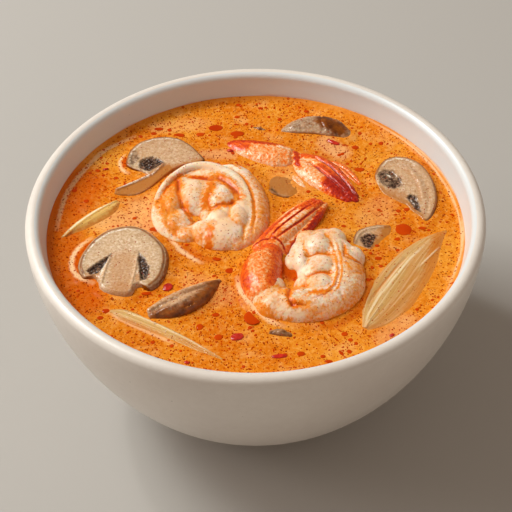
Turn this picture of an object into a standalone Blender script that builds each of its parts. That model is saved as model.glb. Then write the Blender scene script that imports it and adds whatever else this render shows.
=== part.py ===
"""A bowl of tom yum soup with shrimps, sliced mushrooms and lemongrass.

Lengths are in metres. The bowl stands on the XY plane with its axis on Z. Every garnish is
given by stations or a centre in millimetres: x and y from the bowl's axis, and the height
over the soup, so that changing the bowl or the filling carries the garnish along.
"""

import math

import bmesh
import bpy
from mathutils import Vector

MM = 0.001
UP = Vector((0, 0, 1))

# Bowl
RIM_RADIUS = 90 * MM
RIM_HEIGHT = 90 * MM
LIP_THICKNESS = 5.8 * MM
WALL_THICKNESS = 7.0 * MM
BASE_RADIUS = 37 * MM
FOOT_RADIUS = 39.5 * MM
FOOT_WIDTH = 5 * MM
FOOT_HEIGHT = 4 * MM
FOOT_HOLLOW = 2.6 * MM
BELLY = 1.66
SHOULDER = 0.641
TURNED_STEPS = 48

# Filling
SOUP_LEVEL = 78.5 * MM
WALL_GAP = 0.4 * MM
POCKET_GAP = 0.45 * MM

LIP_RADIUS = LIP_THICKNESS / 2
LIP_CENTRE = RIM_HEIGHT - LIP_RADIUS

# Shrimp stations: x, y, height of the centre over the soup, half width, half thickness
SHRIMP_LEFT = [
    (-33.0, -7.0, -2.4, 2.8, 2.4),
    (-36.0, 2.0, -1.6, 4.8, 5.0),
    (-35.4, 12.0, -0.8, 6.4, 6.6),
    (-31.4, 22.2, 0.0, 8.6, 7.0),
    (-21.0, 28.4, 0.0, 11.2, 7.0),
    (-9.6, 24.4, 0.0, 11.8, 7.0),
    (-4.9, 13.1, 0.0, 10.8, 7.0),
    (-9.2, 1.4, 0.0, 10.9, 7.0),
    (-18.0, -3.8, 0.0, 9.4, 6.8),
    (-23.6, -3.6, 0.0, 7.4, 5.6),
]
SHRIMP_FRONT = [
    (26.5, 13.6, 3.0, 4.5, 1.6),
    (17.6, 3.2, 2.8, 4.9, 2.4),
    (9.8, -7.2, 2.2, 5.4, 3.8),
    (4.5, -15.5, 1.2, 7.2, 5.6),
    (1.6, -25.5, 0.2, 8.8, 6.8),
    (4.6, -36.4, 0.0, 9.2, 7.0),
    (15.5, -41.6, 0.0, 9.3, 7.0),
    (26.0, -35.6, 0.0, 10.6, 7.0),
    (30.0, -24.0, 0.0, 12.0, 7.0),
    (28.2, -13.0, 0.0, 13.0, 7.0),
    (26.0, -7.4, 0.0, 11.4, 6.6),
]
SHRIMP_BACK = [
    (-10.0, 57.0, -1.4, 2.6, 2.2),
    (-3.0, 54.0, -2.0, 5.2, 3.8),
    (7.0, 49.0, -2.0, 6.6, 4.6),
    (15.5, 44.8, -2.0, 6.4, 4.4),
    (19.8, 41.6, -1.8, 5.6, 4.2),
    (25.0, 35.6, -1.4, 7.0, 4.6),
    (33.0, 26.2, -1.0, 6.2, 4.0),
    (39.4, 17.6, -0.5, 3.4, 2.8),
]
BODY_SEGMENTS = 6
SEGMENT_CREASE = 0.12
VEIN_ANGLE = math.radians(67)
VEIN_GROOVE = 0.12

# Lemongrass stations, as for the shrimps
LEMONGRASS_LEFT = [
    (-75.0, -2.8, -0.5, 1.0, 1.2),
    (-67.8, 5.0, -0.6, 3.6, 1.6),
    (-60.0, 13.2, -0.6, 4.0, 1.6),
    (-56.0, 18.0, -0.6, 2.4, 1.4),
]
LEMONGRASS_FRONT = [
    (-55.0, -43.8, -0.6, 2.0, 1.4),
    (-47.0, -47.2, -0.6, 3.2, 1.6),
    (-37.0, -53.0, -0.6, 2.8, 1.5),
    (-27.0, -59.4, -0.6, 2.2, 1.4),
    (-19.0, -65.0, -0.5, 1.6, 1.2),
    (-13.5, -68.6, -0.4, 0.8, 1.0),
]
LEMONGRASS_RIGHT = [
    (42.0, -50.5, -0.8, 2.6, 1.5),
    (48.8, -42.4, -0.9, 7.2, 2.2),
    (55.6, -31.8, -0.9, 10.2, 2.6),
    (62.0, -20.4, -0.9, 9.6, 2.6),
    (67.4, -10.2, -0.8, 5.8, 2.0),
    (73.5, -2.6, -0.6, 1.4, 1.2),
]

# Stray mushroom crumbs at the surface, as for the shrimps
CRUMB_FRONT = [
    (4.6, -55.0, -0.2, 1.2, 1.2),
    (8.5, -55.6, -0.2, 2.0, 1.6),
    (13.0, -57.4, -0.4, 1.0, 1.2),
]
CRUMB_BACK = [
    (-0.6, 63.0, -0.6, 1.0, 1.0),
    (2.4, 62.2, -0.6, 1.7, 1.1),
    (5.8, 60.4, -0.6, 0.9, 1.0),
]

# Mushroom slices: millimetres and degrees. The centre is where the stem joins the cap, and
# heading is the way the cap's crown points; pitch lowers the stem end, roll raises the right.
MUSHROOMS = {
    "mushroom_back_left": dict(
        centre=(-37.0, 38.5), height=1.3, heading=30, pitch=2, roll=-2, thickness=4.5,
        half_width=16, crown=17, lobe=9, stem_half_width=4.6, stem_length=24,
    ),
    "mushroom_left": dict(
        centre=(-52, -16.8), height=1.9, heading=92, pitch=0, roll=-4, thickness=5,
        half_width=16.3, crown=17, lobe=12, stem_half_width=6.9, stem_length=15.6,
    ),
    "mushroom_right": dict(
        centre=(60, 21.5), height=1.9, heading=18, pitch=2, roll=0, thickness=4.5,
        half_width=19.5, crown=12.5, lobe=7, stem_half_width=4.5, stem_length=10,
    ),
    "mushroom_middle": dict(
        centre=(48.5, -6.8), height=0.7, heading=128, pitch=2, roll=0, thickness=3,
        half_width=6.2, crown=7, lobe=3.5, stem_half_width=0, stem_length=0,
    ),
    "mushroom_centre": dict(
        centre=(13, 25.6), height=0.6, heading=200, pitch=0, roll=0, thickness=3,
        half_width=7, crown=7, lobe=6, stem_half_width=0, stem_length=0,
    ),
    "mushroom_front": dict(
        centre=(-28.0, -36.6), height=4.0, heading=-57, pitch=-12, roll=-3, thickness=8,
        half_width=15.6, crown=6, lobe=3, stem_half_width=0, stem_length=0,
    ),
    "mushroom_back": dict(
        centre=(25.5, 58.5), height=1.4, heading=94, pitch=28, roll=2, thickness=4,
        half_width=14, crown=8, lobe=2.6, stem_half_width=0, stem_length=0,
    ),
}
EDGE_BEVEL = 0.5 * MM

# Slices that lie against a shrimp and are cut round it
PRESSED = {
    "shrimp_left": ["mushroom_back_left"],
    "shrimp_front": [],
    "shrimp_back": [],
}


def clear_scene():
    for item in list(bpy.data.objects):
        bpy.data.objects.remove(item, do_unlink=True)


def material(name, color, roughness):
    made = bpy.data.materials.new(name)
    made.use_nodes = True
    shader = made.node_tree.nodes["Principled BSDF"]
    shader.inputs["Base Color"].default_value = (*color, 1)
    shader.inputs["Roughness"].default_value = roughness
    return made


def add_object(name, mesh, surface, parent):
    item = bpy.data.objects.new(name, mesh)
    bpy.context.scene.collection.objects.link(item)
    item.data.materials.append(surface)
    item.data.shade_smooth()
    item.data.set_sharp_from_angle(angle=math.radians(40))
    item.parent = parent
    return item


# Turned pieces


def wall_point(share, depth):
    """Radius and height inside the wall: share runs up the outer curve, depth goes inwards."""

    def outer(at):
        radius = BASE_RADIUS + (RIM_RADIUS - BASE_RADIUS) * (1 - (1 - at) ** BELLY) ** SHOULDER
        return Vector((radius, FOOT_HEIGHT + (LIP_CENTRE - FOOT_HEIGHT) * at))

    step = 1e-4
    along = outer(min(share + step, 1)) - outer(max(share - step, 0))
    inwards = Vector((-along.y, along.x)).normalized()
    return outer(share) + inwards * depth


def wall_depth(share):
    """Thickness of the wall, which thins into the lip over the top tenth."""
    return LIP_THICKNESS + (WALL_THICKNESS - LIP_THICKNESS) * min(1, (1 - share) / 0.1)


def share_at(height, clearance):
    """The share at which the inner wall, less a clearance, passes a height."""
    low, high = 0.5, 1.0
    for _ in range(30):
        middle = (low + high) / 2
        if wall_point(middle, wall_depth(middle) + clearance).y < height:
            low = middle
        else:
            high = middle
    return low


def inner_wall(top_share, clearance, count):
    """Points from the floor's edge up the inside of the bowl to a share."""
    shares = [top_share * (i / count) ** 1.5 for i in range(count + 1)]
    return [wall_point(share, wall_depth(share) + clearance) for share in shares]


def bowl_profile():
    inside = inner_wall(1, 0, 7)
    arc = [math.radians(angle) for angle in (150, 120, 90, 60, 30)]
    lip_x = RIM_RADIUS - LIP_RADIUS
    lip = [(lip_x + LIP_RADIUS * math.cos(a), LIP_CENTRE + LIP_RADIUS * math.sin(a)) for a in arc]
    outside = [wall_point((i / 8) ** 1.7, 0) for i in range(8, 0, -1)]
    foot = [
        (FOOT_RADIUS + 0.4 * MM, FOOT_HEIGHT),
        (FOOT_RADIUS, 0),
        (FOOT_RADIUS - FOOT_WIDTH, 0),
        (FOOT_RADIUS - FOOT_WIDTH - 1.2 * MM, FOOT_HOLLOW),
        (0, FOOT_HOLLOW),
    ]
    return [(0, inside[0].y), *inside, *lip, *outside, *foot]


def soup_profile():
    side = inner_wall(share_at(SOUP_LEVEL, WALL_GAP), WALL_GAP, 5)
    side[-1].y = SOUP_LEVEL
    return [(0, SOUP_LEVEL), *reversed(side), (0, side[0].y)]


def turned(name, profile, surface, parent):
    """A closed profile, from the axis back to the axis, turned about Z."""
    mesh = bpy.data.meshes.new(name)
    points = [(radius, 0, height) for radius, height in profile]
    edges = [(i, i + 1) for i in range(len(points) - 1)]
    mesh.from_pydata(points, edges, [])
    item = add_object(name, mesh, surface, parent)
    screw = item.modifiers.new("turn", "SCREW")
    screw.steps = screw.render_steps = TURNED_STEPS
    screw.use_merge_vertices = True
    screw.merge_threshold = 0.00001
    return item


# Swept pieces


def smooth_path(stations, count):
    """Catmull-Rom samples through the stations, evenly by station."""
    padded = [stations[0], *stations, stations[-1]]
    last = len(stations) - 1
    samples = []
    for i in range(count):
        at = last * i / (count - 1)
        k = min(int(at), last - 1)
        t = at - k
        a, b, c, d = padded[k : k + 4]
        samples.append([
            0.5 * (2 * q + (r - p) * t + (2 * p - 5 * q + 4 * r - s) * t * t
                   + (3 * q - p - 3 * r + s) * t ** 3)
            for p, q, r, s in zip(a, b, c, d)
        ])
    return samples


def round_end(share, length):
    """Shrinks a sweep's first and last stretch to a rounded end."""
    near = min(share, 1 - share, length) / length
    return math.sqrt(1 - (1 - near) ** 2 * 0.93)


def swept(name, stations, surface, parent, rings, sides, end_share, relief):
    """A closed body along the stations; relief(share, angle) scales its section."""
    samples = smooth_path(stations, rings)
    build = bmesh.new()
    loops = []
    for i, sample in enumerate(samples):
        share = i / (rings - 1)
        before = Vector(samples[max(i - 1, 0)][:3])
        after = Vector(samples[min(i + 1, rings - 1)][:3])
        side = (after - before).cross(UP).normalized()
        x, y, height, half_width, half_thickness = sample
        centre = Vector((x * MM, y * MM, SOUP_LEVEL + height * MM))
        end = round_end(share, end_share)
        loop = []
        for k in range(sides):
            angle = math.tau * k / sides
            scale = end * relief(share, angle) * MM
            across = side * (half_width * math.cos(angle) * scale)
            rise = UP * (half_thickness * math.sin(angle) * scale)
            loop.append(build.verts.new(centre + across + rise))
        loops.append(loop)
    for low, high in zip(loops, loops[1:]):
        for k in range(sides):
            build.faces.new((low[k], low[k - 1], high[k - 1], high[k]))
    build.faces.new(loops[0])
    build.faces.new(reversed(loops[-1]))
    bmesh.ops.recalc_face_normals(build, faces=build.faces)
    mesh = bpy.data.meshes.new(name)
    build.to_mesh(mesh)
    build.free()
    return add_object(name, mesh, surface, parent)


def bump(angle, centre, width):
    """One at an angle, falling away to each side."""
    off = math.remainder(angle - centre, math.tau)
    return math.exp(-((off / width) ** 2))


def flesh(vein_side):
    """Peeled shrimp: a crease between segments and the vein's groove along the back."""

    def relief(share, angle):
        crease = abs(math.cos(math.pi * BODY_SEGMENTS * share)) ** 6
        groove = bump(angle, math.pi / 2 + vein_side * (math.pi / 2 - VEIN_ANGLE), 0.3)
        return 1 - SEGMENT_CREASE * crease - VEIN_GROOVE * groove

    return relief


def tail_first(share, angle):
    """Ridged tail fan for the first quarter of the body, then flesh."""
    if share > 0.26:
        return flesh(1)(share, angle)
    ridges = 0.1 * abs(math.sin(3 * angle)) if share < 0.2 else 0
    joint = 0.1 * bump(share * math.tau, 0.215 * math.tau, 0.12)
    return 1.02 - ridges - joint


def tail_last(share, angle):
    """A shelled segment, its joint, and the ridged tail fan behind it."""
    joint = 0.12 * bump(share * math.tau, 0.56 * math.tau, 0.16)
    ridges = 0.1 * abs(math.sin(2 * angle + 0.6)) if share > 0.66 else 0
    return 1 - joint - ridges


def leaf(share, angle):
    """Flat underneath, with three low ribs along the top."""
    ribs = 0.16 * abs(math.sin(2.5 * angle)) if math.sin(angle) > 0 else 0
    return 1 - ribs


def plain(share, angle):
    return 1


# Mushroom slices


def half_outline(half_width, crown, lobe, stem_half_width, stem_length):
    """The right half of a slice's outline, from the crown down to the stem's foot."""
    dome = [math.radians(angle) for angle in range(90, -1, -15)]
    points = [(half_width * math.cos(a), crown * math.sin(a)) for a in dome]
    if not stem_length:
        under = [math.radians(angle) for angle in (-30, -60, -90)]
        return points + [(half_width * math.cos(a), lobe * math.sin(a)) for a in under]
    brim = 0.38 * (half_width - stem_half_width)
    notch = half_width - 2 * brim - stem_half_width
    curl = [math.radians(angle) for angle in (-30, -60, -90, -130)]
    points += [
        (half_width - brim + brim * math.cos(a), lobe * math.sin(a)) for a in curl
    ]
    points += [
        (stem_half_width + 0.75 * notch, -0.25 * lobe),
        (stem_half_width + 0.15 * notch, -0.25 * lobe),
        (0.95 * stem_half_width, -0.6 * stem_length),
        (1.05 * stem_half_width, -0.93 * stem_length),
        (0.7 * stem_half_width, -stem_length),
    ]
    return points


def mushroom_slice(name, surface, parent, centre, height, heading, pitch, roll, thickness, **shape):
    """An extruded slice whose cut face is up, turned and tilted where it floats."""
    right = half_outline(**shape)
    left = [(-x, y) for x, y in reversed(right) if x > 1e-6]
    build = bmesh.new()
    face = build.faces.new([build.verts.new((x * MM, y * MM, 0)) for x, y in right + left])
    if face.normal.z > 0 or face.calc_area() == 0:
        face.normal_flip()
    made = bmesh.ops.extrude_face_region(build, geom=[face])
    upper = [item for item in made["geom"] if isinstance(item, bmesh.types.BMVert)]
    bmesh.ops.translate(build, verts=upper, vec=UP * (thickness * MM))
    bmesh.ops.translate(build, verts=build.verts, vec=-UP * (thickness * MM))
    bmesh.ops.recalc_face_normals(build, faces=build.faces)
    mesh = bpy.data.meshes.new(name)
    build.to_mesh(mesh)
    build.free()
    item = add_object(name, mesh, surface, parent)
    item.location = (centre[0] * MM, centre[1] * MM, SOUP_LEVEL + height * MM)
    item.rotation_euler = (math.radians(pitch), math.radians(roll), math.radians(heading - 90))
    bevel = item.modifiers.new("soft edge", "BEVEL")
    bevel.width = EDGE_BEVEL
    bevel.segments = 1
    bevel.limit_method = "ANGLE"
    bevel.angle_limit = math.radians(60)
    return item


# Soup


def swollen(piece):
    """A hidden copy of a piece, larger all round by the pocket's gap."""
    cutter = piece.copy()
    cutter.name = "pocket_" + piece.name
    bpy.context.scene.collection.objects.link(cutter)
    cutter.hide_render = True
    cutter.display_type = "WIRE"
    swell = cutter.modifiers.new("gap", "DISPLACE")
    swell.strength = POCKET_GAP
    swell.mid_level = 0
    return cutter


def cut_away(item, cutter, solver="EXACT"):
    cut = item.modifiers.new(cutter.name, "BOOLEAN")
    cut.object = cutter
    cut.operation = "DIFFERENCE"
    cut.solver = solver


def main():
    clear_scene()
    centre = bpy.data.objects.new("tom_yum", None)
    bpy.context.scene.collection.objects.link(centre)

    glaze = material("cream glaze", (0.74, 0.71, 0.65), 0.3)
    broth = material("creamy broth", (0.86, 0.35, 0.06), 0.3)
    cooked = material("cooked shrimp", (0.88, 0.62, 0.45), 0.35)
    mushroom = material("mushroom", (0.55, 0.45, 0.31), 0.5)
    lemongrass = material("lemongrass", (0.76, 0.58, 0.26), 0.4)

    turned("bowl", bowl_profile(), glaze, centre)
    soup = turned("soup", soup_profile(), broth, centre)
    shrimps = [
        swept("shrimp_left", SHRIMP_LEFT, cooked, centre, 25, 12, 0.09, flesh(-1)),
        swept("shrimp_front", SHRIMP_FRONT, cooked, centre, 31, 12, 0.035, tail_first),
        swept("shrimp_back", SHRIMP_BACK, cooked, centre, 17, 12, 0.09, tail_last),
    ]
    slips = [
        swept("lemongrass_left", LEMONGRASS_LEFT, lemongrass, centre, 9, 8, 0.09, leaf),
        swept("lemongrass_front", LEMONGRASS_FRONT, lemongrass, centre, 11, 8, 0.09, leaf),
        swept("lemongrass_right", LEMONGRASS_RIGHT, lemongrass, centre, 12, 8, 0.09, leaf),
        swept("mushroom_crumb_front", CRUMB_FRONT, mushroom, centre, 6, 8, 0.2, plain),
        swept("mushroom_crumb_back", CRUMB_BACK, mushroom, centre, 6, 8, 0.2, plain),
    ]
    slices = [
        mushroom_slice(name, mushroom, centre, **values) for name, values in MUSHROOMS.items()
    ]
    # Pockets that run into each other leave an open edge under EXACT
    for shrimp in shrimps:
        room = swollen(shrimp)
        cut_away(soup, room, "MANIFOLD")
        for item in slices:
            if item.name in PRESSED[shrimp.name]:
                cut_away(item, room)
    for item in slips + slices:
        cut_away(soup, swollen(item), "MANIFOLD")


main()
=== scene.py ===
# Tom yum soup in a cream stoneware bowl, with shrimps, sliced mushrooms and lemongrass.
# Places are in millimetres: x and y from the bowl's axis, heights from the soup's surface.

import math
import random

import bpy
import numpy as np
from mathutils import Matrix, Vector
from mathutils.bvhtree import BVHTree
from mathutils.kdtree import KDTree


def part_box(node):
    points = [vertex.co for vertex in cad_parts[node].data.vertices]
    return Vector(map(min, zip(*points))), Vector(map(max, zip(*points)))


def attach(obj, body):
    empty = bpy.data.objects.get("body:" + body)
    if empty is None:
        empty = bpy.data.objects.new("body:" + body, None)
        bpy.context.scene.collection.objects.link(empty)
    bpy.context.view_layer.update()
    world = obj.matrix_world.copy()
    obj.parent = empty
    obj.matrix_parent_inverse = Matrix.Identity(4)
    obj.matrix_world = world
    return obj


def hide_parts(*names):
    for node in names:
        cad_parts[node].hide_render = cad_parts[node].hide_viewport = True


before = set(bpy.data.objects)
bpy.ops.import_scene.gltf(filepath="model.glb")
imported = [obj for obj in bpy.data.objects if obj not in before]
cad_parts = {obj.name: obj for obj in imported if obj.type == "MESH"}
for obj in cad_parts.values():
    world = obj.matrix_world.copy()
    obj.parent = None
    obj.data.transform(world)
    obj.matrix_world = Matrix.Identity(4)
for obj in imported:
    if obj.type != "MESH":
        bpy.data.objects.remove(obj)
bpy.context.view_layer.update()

mm = 0.001
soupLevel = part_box("soup")[1].z
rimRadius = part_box("bowl")[1].x / mm
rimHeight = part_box("bowl")[1].z / mm
dice = random.Random(7)
dotEdge = 0.06  # how soft a dot's edge is, as a share of the dots' spacing


def spot(x, y, height=0.0):
    return Vector((x * mm, y * mm, soupLevel + height * mm))


def clearSelection():
    if bpy.context.mode != "OBJECT":
        bpy.ops.object.mode_set(mode="OBJECT")
    bpy.ops.object.select_all(action="DESELECT")


def pick(piece):
    clearSelection()
    piece.select_set(True)
    bpy.context.view_layer.objects.active = piece


def applyAll(piece):
    pick(piece)
    bpy.ops.object.transform_apply(location=True, rotation=True, scale=True)
    for modifier in list(piece.modifiers):
        bpy.ops.object.modifier_apply(modifier=modifier.name)
    return piece


def joinAll(name, parts):
    clearSelection()
    for part in parts:
        part.select_set(True)
    bpy.context.view_layer.objects.active = parts[0]
    if len(parts) > 1:
        bpy.ops.object.join()
    parts[0].name = parts[0].data.name = name
    return applyAll(parts[0])


def ball(x, y, height, wide, deep, tall, turn=0):
    clearSelection()
    bpy.ops.mesh.primitive_uv_sphere_add(
        segments=28, ring_count=16, radius=mm, location=spot(x, y, height),
        rotation=(0, 0, math.radians(turn)), scale=(wide, deep, tall))
    return bpy.context.object


def tube(knots, flat):
    # a drawn line with a round section, pressed flatter; knots are x, y, height and radius
    curve = bpy.data.curves.new("tube", "CURVE")
    curve.dimensions = "3D"
    curve.resolution_u = 6
    curve.bevel_depth = mm
    curve.bevel_resolution = 12
    curve.use_fill_caps = True
    line = curve.splines.new("BEZIER")
    line.bezier_points.add(len(knots) - 1)
    for point, (x, y, height, radius) in zip(line.bezier_points, knots):
        point.co = (x * mm, y * mm, height * mm / flat)
        point.handle_left_type = point.handle_right_type = "AUTO"
        point.radius = radius
    piece = bpy.data.objects.new("tube", curve)
    bpy.context.collection.objects.link(piece)
    piece.location.z = soupLevel
    piece.scale.z = flat
    pick(piece)
    bpy.ops.object.convert(target="MESH")
    bpy.ops.object.transform_apply(location=True, rotation=True, scale=True)
    ends = [ball(x, y, height, radius, radius, radius * flat)
            for x, y, height, radius in (knots[0], knots[-1])]
    return joinAll("tube", [piece, *ends])


def fuse(name, parts, cell, passes):
    # overlapping shapes become one skin of small squares, then the joints are softened
    piece = joinAll(name, parts)
    skin = piece.modifiers.new("skin", "REMESH")
    skin.mode = "VOXEL"
    skin.voxel_size = cell * mm
    soften = piece.modifiers.new("soften", "SMOOTH")
    soften.factor = 0.5
    soften.iterations = passes
    return applyAll(piece)


def roughen(piece, size, depth):
    # uneven skin: cloud relief of a given size and depth in millimetres
    clouds = bpy.data.textures.new("clouds", "CLOUDS")
    clouds.noise_scale = size * mm
    clouds.noise_depth = 1
    relief = piece.modifiers.new("relief", "DISPLACE")
    relief.texture = clouds
    relief.texture_coords = "GLOBAL"
    relief.strength = depth * mm
    relief.mid_level = 0.5
    return applyAll(piece)


def readMesh(piece):
    # places in millimetres from the bowl's axis and the soup, and the way each point faces
    mesh = piece.data
    places = np.empty(len(mesh.vertices) * 3)
    normals = np.empty(len(mesh.vertices) * 3)
    mesh.vertices.foreach_get("co", places)
    mesh.vertex_normals.foreach_get("vector", normals)
    places = places.reshape(-1, 3)
    places[:, 2] -= soupLevel
    return places / mm, normals.reshape(-1, 3)


def writeMesh(piece, places):
    moved = places * mm
    moved[:, 2] += soupLevel
    piece.data.vertices.foreach_set("co", moved.ravel())
    piece.data.update()


def ease(value):
    value = np.clip(value, 0, 1)
    return value * value * (3 - 2 * value)


def nearLine(places, line):
    # how far each place lies from a plan line, and how far along the line that is
    best = np.full(len(places), 1e9)
    along = np.zeros(len(places))
    run = 0.0
    for start, end in zip(line, line[1:]):
        step = np.array(end[:2], float) - start[:2]
        length = math.hypot(*step)
        share = np.clip((places[:, :2] - start[:2]) @ step / length ** 2, 0, 1)
        gap = np.hypot(*(places[:, :2] - start[:2] - share[:, None] * step).T)
        closer = gap < best
        best[closer] = gap[closer]
        along[closer] = run + share[closer] * length
        run += length
    return best, along


brush = dict(
    wander=0.35, twist=0.25, steadyReach=1.3, spread=1.45, fade=0.9, thinBelow=2, longFrom=5,
    tip=0.3, taper=0.2)  # thin long strokes taper, over a share of their length, to a fainter tip


def strokes(places, marks):
    # strength of the strongest stroke at each place: line, half width, strength; wide ones wander
    b = brush
    value = np.zeros(len(places))
    x, y = places[:, 0], places[:, 1]
    drift = np.stack([
        b["wander"] * np.sin(1.9 * y + 1.1 * x) + b["twist"] * np.sin(4.3 * y - 2.7 * x),
        b["wander"] * np.sin(2.1 * x - 0.8 * y + 2) + b["twist"] * np.sin(4.9 * x + 2.3 * y)], 1)
    for line, reach, strength in marks:
        loose = min(1, (reach / b["steadyReach"]) ** 2)
        gap, along = nearLine(places[:, :2] + drift * loose, line)
        edge = ease((reach * b["spread"] - gap) / (reach * b["fade"]))
        length = sum(math.dist(start[:2], end[:2]) for start, end in zip(line, line[1:]))
        if reach < b["thinBelow"] and length > b["longFrom"] * reach:
            fromEnd = np.minimum(along, length - along) / (b["taper"] * length)
            edge *= b["tip"] + (1 - b["tip"]) * ease(fromEnd)
        value = np.maximum(value, strength * edge)
    return value


def region(places, shapes, soft):
    # how far each place is inside plan outlines, softened at their edges: outline, strength
    value = np.zeros(len(places))
    x, y = places[:, 0], places[:, 1]
    for outline, strength in shapes:
        closed = outline + outline[:1]
        gap, _ = nearLine(places, closed)
        within = np.zeros(len(places), bool)
        for (ax, ay), (bx, by) in zip(closed, closed[1:]):
            crosses = (ay > y) != (by > y)
            within ^= crosses & (x < (bx - ax) * (y - ay) / (by - ay + 1e-9) + ax)
        signed = np.where(within, gap, -gap)
        value = np.maximum(value, strength * np.clip(0.5 + signed / soft, 0, 1))
    return value


def hollows(piece, passes, depth):
    # how deep each place lies below its softened surroundings, as a share of a depth in millimetres
    places, normals = readMesh(piece)
    ends = np.empty(len(piece.data.edges) * 2, np.int64)
    piece.data.edges.foreach_get("vertices", ends)
    a, b = ends.reshape(-1, 2).T
    total = len(places)
    neighbours = np.bincount(ends, minlength=total)
    soft = places.copy()
    for _ in range(passes):
        soft = np.stack([
            (np.bincount(a, soft[b, k], total) + np.bincount(b, soft[a, k], total)) / neighbours
            for k in range(3)], 1)
    return np.clip(((soft - places) * normals).sum(1) / depth, -1, 1)


def pressLines(piece, marks):
    # grooves, or ridges where the depth is negative, along plan lines on the upper side
    for line, reach, depth in marks:
        places, normals = readMesh(piece)
        gap, _ = nearLine(places, line)
        push = depth * np.exp(-(gap / reach) ** 2) * np.clip(normals[:, 2] * 3 + 0.6, 0, 1)
        writeMesh(piece, places - normals * push[:, None])


def paint(piece, **masks):
    # painted attributes from 0 to 1, each a value for every point or one for all
    for name, values in masks.items():
        layer = piece.data.attributes.new(name, "FLOAT", "POINT")
        values = np.clip(values + np.zeros(len(piece.data.vertices)), 0, 1)
        layer.data.foreach_set("value", values.astype(np.float32))


def startEdit():
    bpy.ops.object.mode_set(mode="EDIT")
    bpy.ops.mesh.select_all(action="SELECT")


def endEdit():
    # every face is turned to the outside before edit mode is left
    bpy.ops.mesh.select_all(action="SELECT")
    bpy.ops.mesh.normals_make_consistent(inside=False)
    bpy.ops.object.mode_set(mode="OBJECT")


def firstBelow(tree, x, y):
    # what a line straight down from well above the garnish meets first
    return tree.ray_cast(spot(x, y, 30), Vector((0, 0, -1)))[0]


def finishPiece(piece, material, slotName, *nodes):
    pick(piece)
    piece.data.materials.clear()
    piece.data.materials.append(material)
    bpy.ops.object.shade_smooth()
    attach(piece, "root")
    if nodes:
        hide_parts(*nodes)
    print("made", piece.name, "with", len(piece.data.polygons), "faces")
    return piece


def srgb(tone):
    parts = [int(tone[i:i + 2], 16) / 255 for i in (0, 2, 4)]
    return (*[p / 12.92 if p <= 0.04045 else ((p + 0.055) / 1.055) ** 2.4 for p in parts], 1)


def addNode(tree, kind, inputs=None, out=0, stops=None, **settings):
    # one node with its settings, the values or links of its inputs (text is a colour) and a
    # ramp's stops; gives back one of its outputs
    node = tree.nodes.new("ShaderNode" + kind)
    for key, value in settings.items():
        setattr(node, key, value)
    for key, value in (inputs or {}).items():
        if isinstance(value, bpy.types.NodeSocket):
            tree.links.new(value, node.inputs[key])
        else:
            node.inputs[key].default_value = srgb(value) if isinstance(value, str) else value
    if stops:
        elements = node.color_ramp.elements
        while len(elements) < len(stops):
            elements.new(0.5)
        for element, (place, tone) in zip(elements, stops.items()):
            element.position = place
            element.color = srgb(tone)
    return node.outputs[out]


def newMaterial(name, settings):
    # gives back the material, its tree and places on the object in metres
    material = bpy.data.materials.new(name)
    material.use_nodes = True
    tree = material.node_tree
    for key, value in settings.items():
        tree.nodes["Principled BSDF"].inputs[key].default_value = value
    return material, tree, addNode(tree, "TexCoord", out="Object")


def dress(material, tone, height=None, depth=0.0, strength=1.0):
    # the finished tone, and relief finer than the mesh, its depth in millimetres
    tree = material.node_tree
    shader = tree.nodes["Principled BSDF"]
    tree.links.new(tone, shader.inputs["Base Color"])
    if height is not None:
        relief = addNode(tree, "Bump", {
            "Height": height, "Distance": depth * mm, "Strength": strength})
        tree.links.new(relief, shader.inputs["Normal"])
        tree.links.new(relief, shader.inputs["Coat Normal"])
    return material


def lumps(size):
    # the scale of a noise whose lumps are about this many millimetres across
    return 0.5 / (size * mm)


def layTones(tree, tone, layers):
    # tones laid over one another: a mask, which is an output or the name of a painted attribute,
    # how strongly the tone covers where the mask is full, and the tone
    for mask, strength, over in layers:
        if isinstance(mask, str):
            mask = addNode(tree, "Attribute", out="Fac", attribute_name=mask)
        share = addNode(tree, "Math", {0: mask, 1: strength}, operation="MULTIPLY", use_clamp=True)
        tone = addNode(tree, "Mix", {0: share, 6: tone, 7: over}, 2, data_type="RGBA")
    return tone


def dots(tree, where, spacing, smallest, largest, share):
    # round dots on a jittered lattice: spacing and radii in millimetres, and the share that shows
    far = addNode(tree, "TexVoronoi", {"Vector": where, "Scale": 1 / (spacing * mm)}, "Distance")
    chance = addNode(tree, "SeparateColor", {0: far.node.outputs["Color"]})
    radius = addNode(tree, "MapRange", {
        0: chance, 1: 1 - share, 3: smallest / spacing, 4: largest / spacing})
    inward = addNode(tree, "Math", {0: radius, 1: far}, operation="SUBTRACT")
    inside = addNode(tree, "MapRange", {0: inward, 2: dotEdge})
    shown = addNode(tree, "Math", {0: chance, 1: 1 - share}, operation="GREATER_THAN")
    return addNode(tree, "Math", {0: inside, 1: shown}, operation="MULTIPLY")


def wetBand(tree, where, top, bottom, strength):
    # how wet a piece is near the soup: none at the top height, full at the bottom one, both in
    # millimetres above the soup
    height = addNode(tree, "SeparateXYZ", {0: where}, "Z")
    return addNode(tree, "MapRange", {
        0: height, 1: soupLevel + top * mm, 2: soupLevel + bottom * mm, 4: strength})


bowlSizes = dict(
    lip=5.8, lipShare=0.1, lipStep=12, wall=7.0, belly=1.66, shoulder=0.641, baseRadius=37.0,
    footRadius=39.5, footWidth=5.0, footHeight=4.0, footHollow=2.6, footEdge=0.5, footSplay=0.4,
    footSlope=1.2, rings=30, innerCrowding=1.5, outerCrowding=1.7, steps=180, insideReach=86.2,
    toneBelow=8, stainTop=0.5, stainFull=-1.4, stainWander=3.2)


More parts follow.
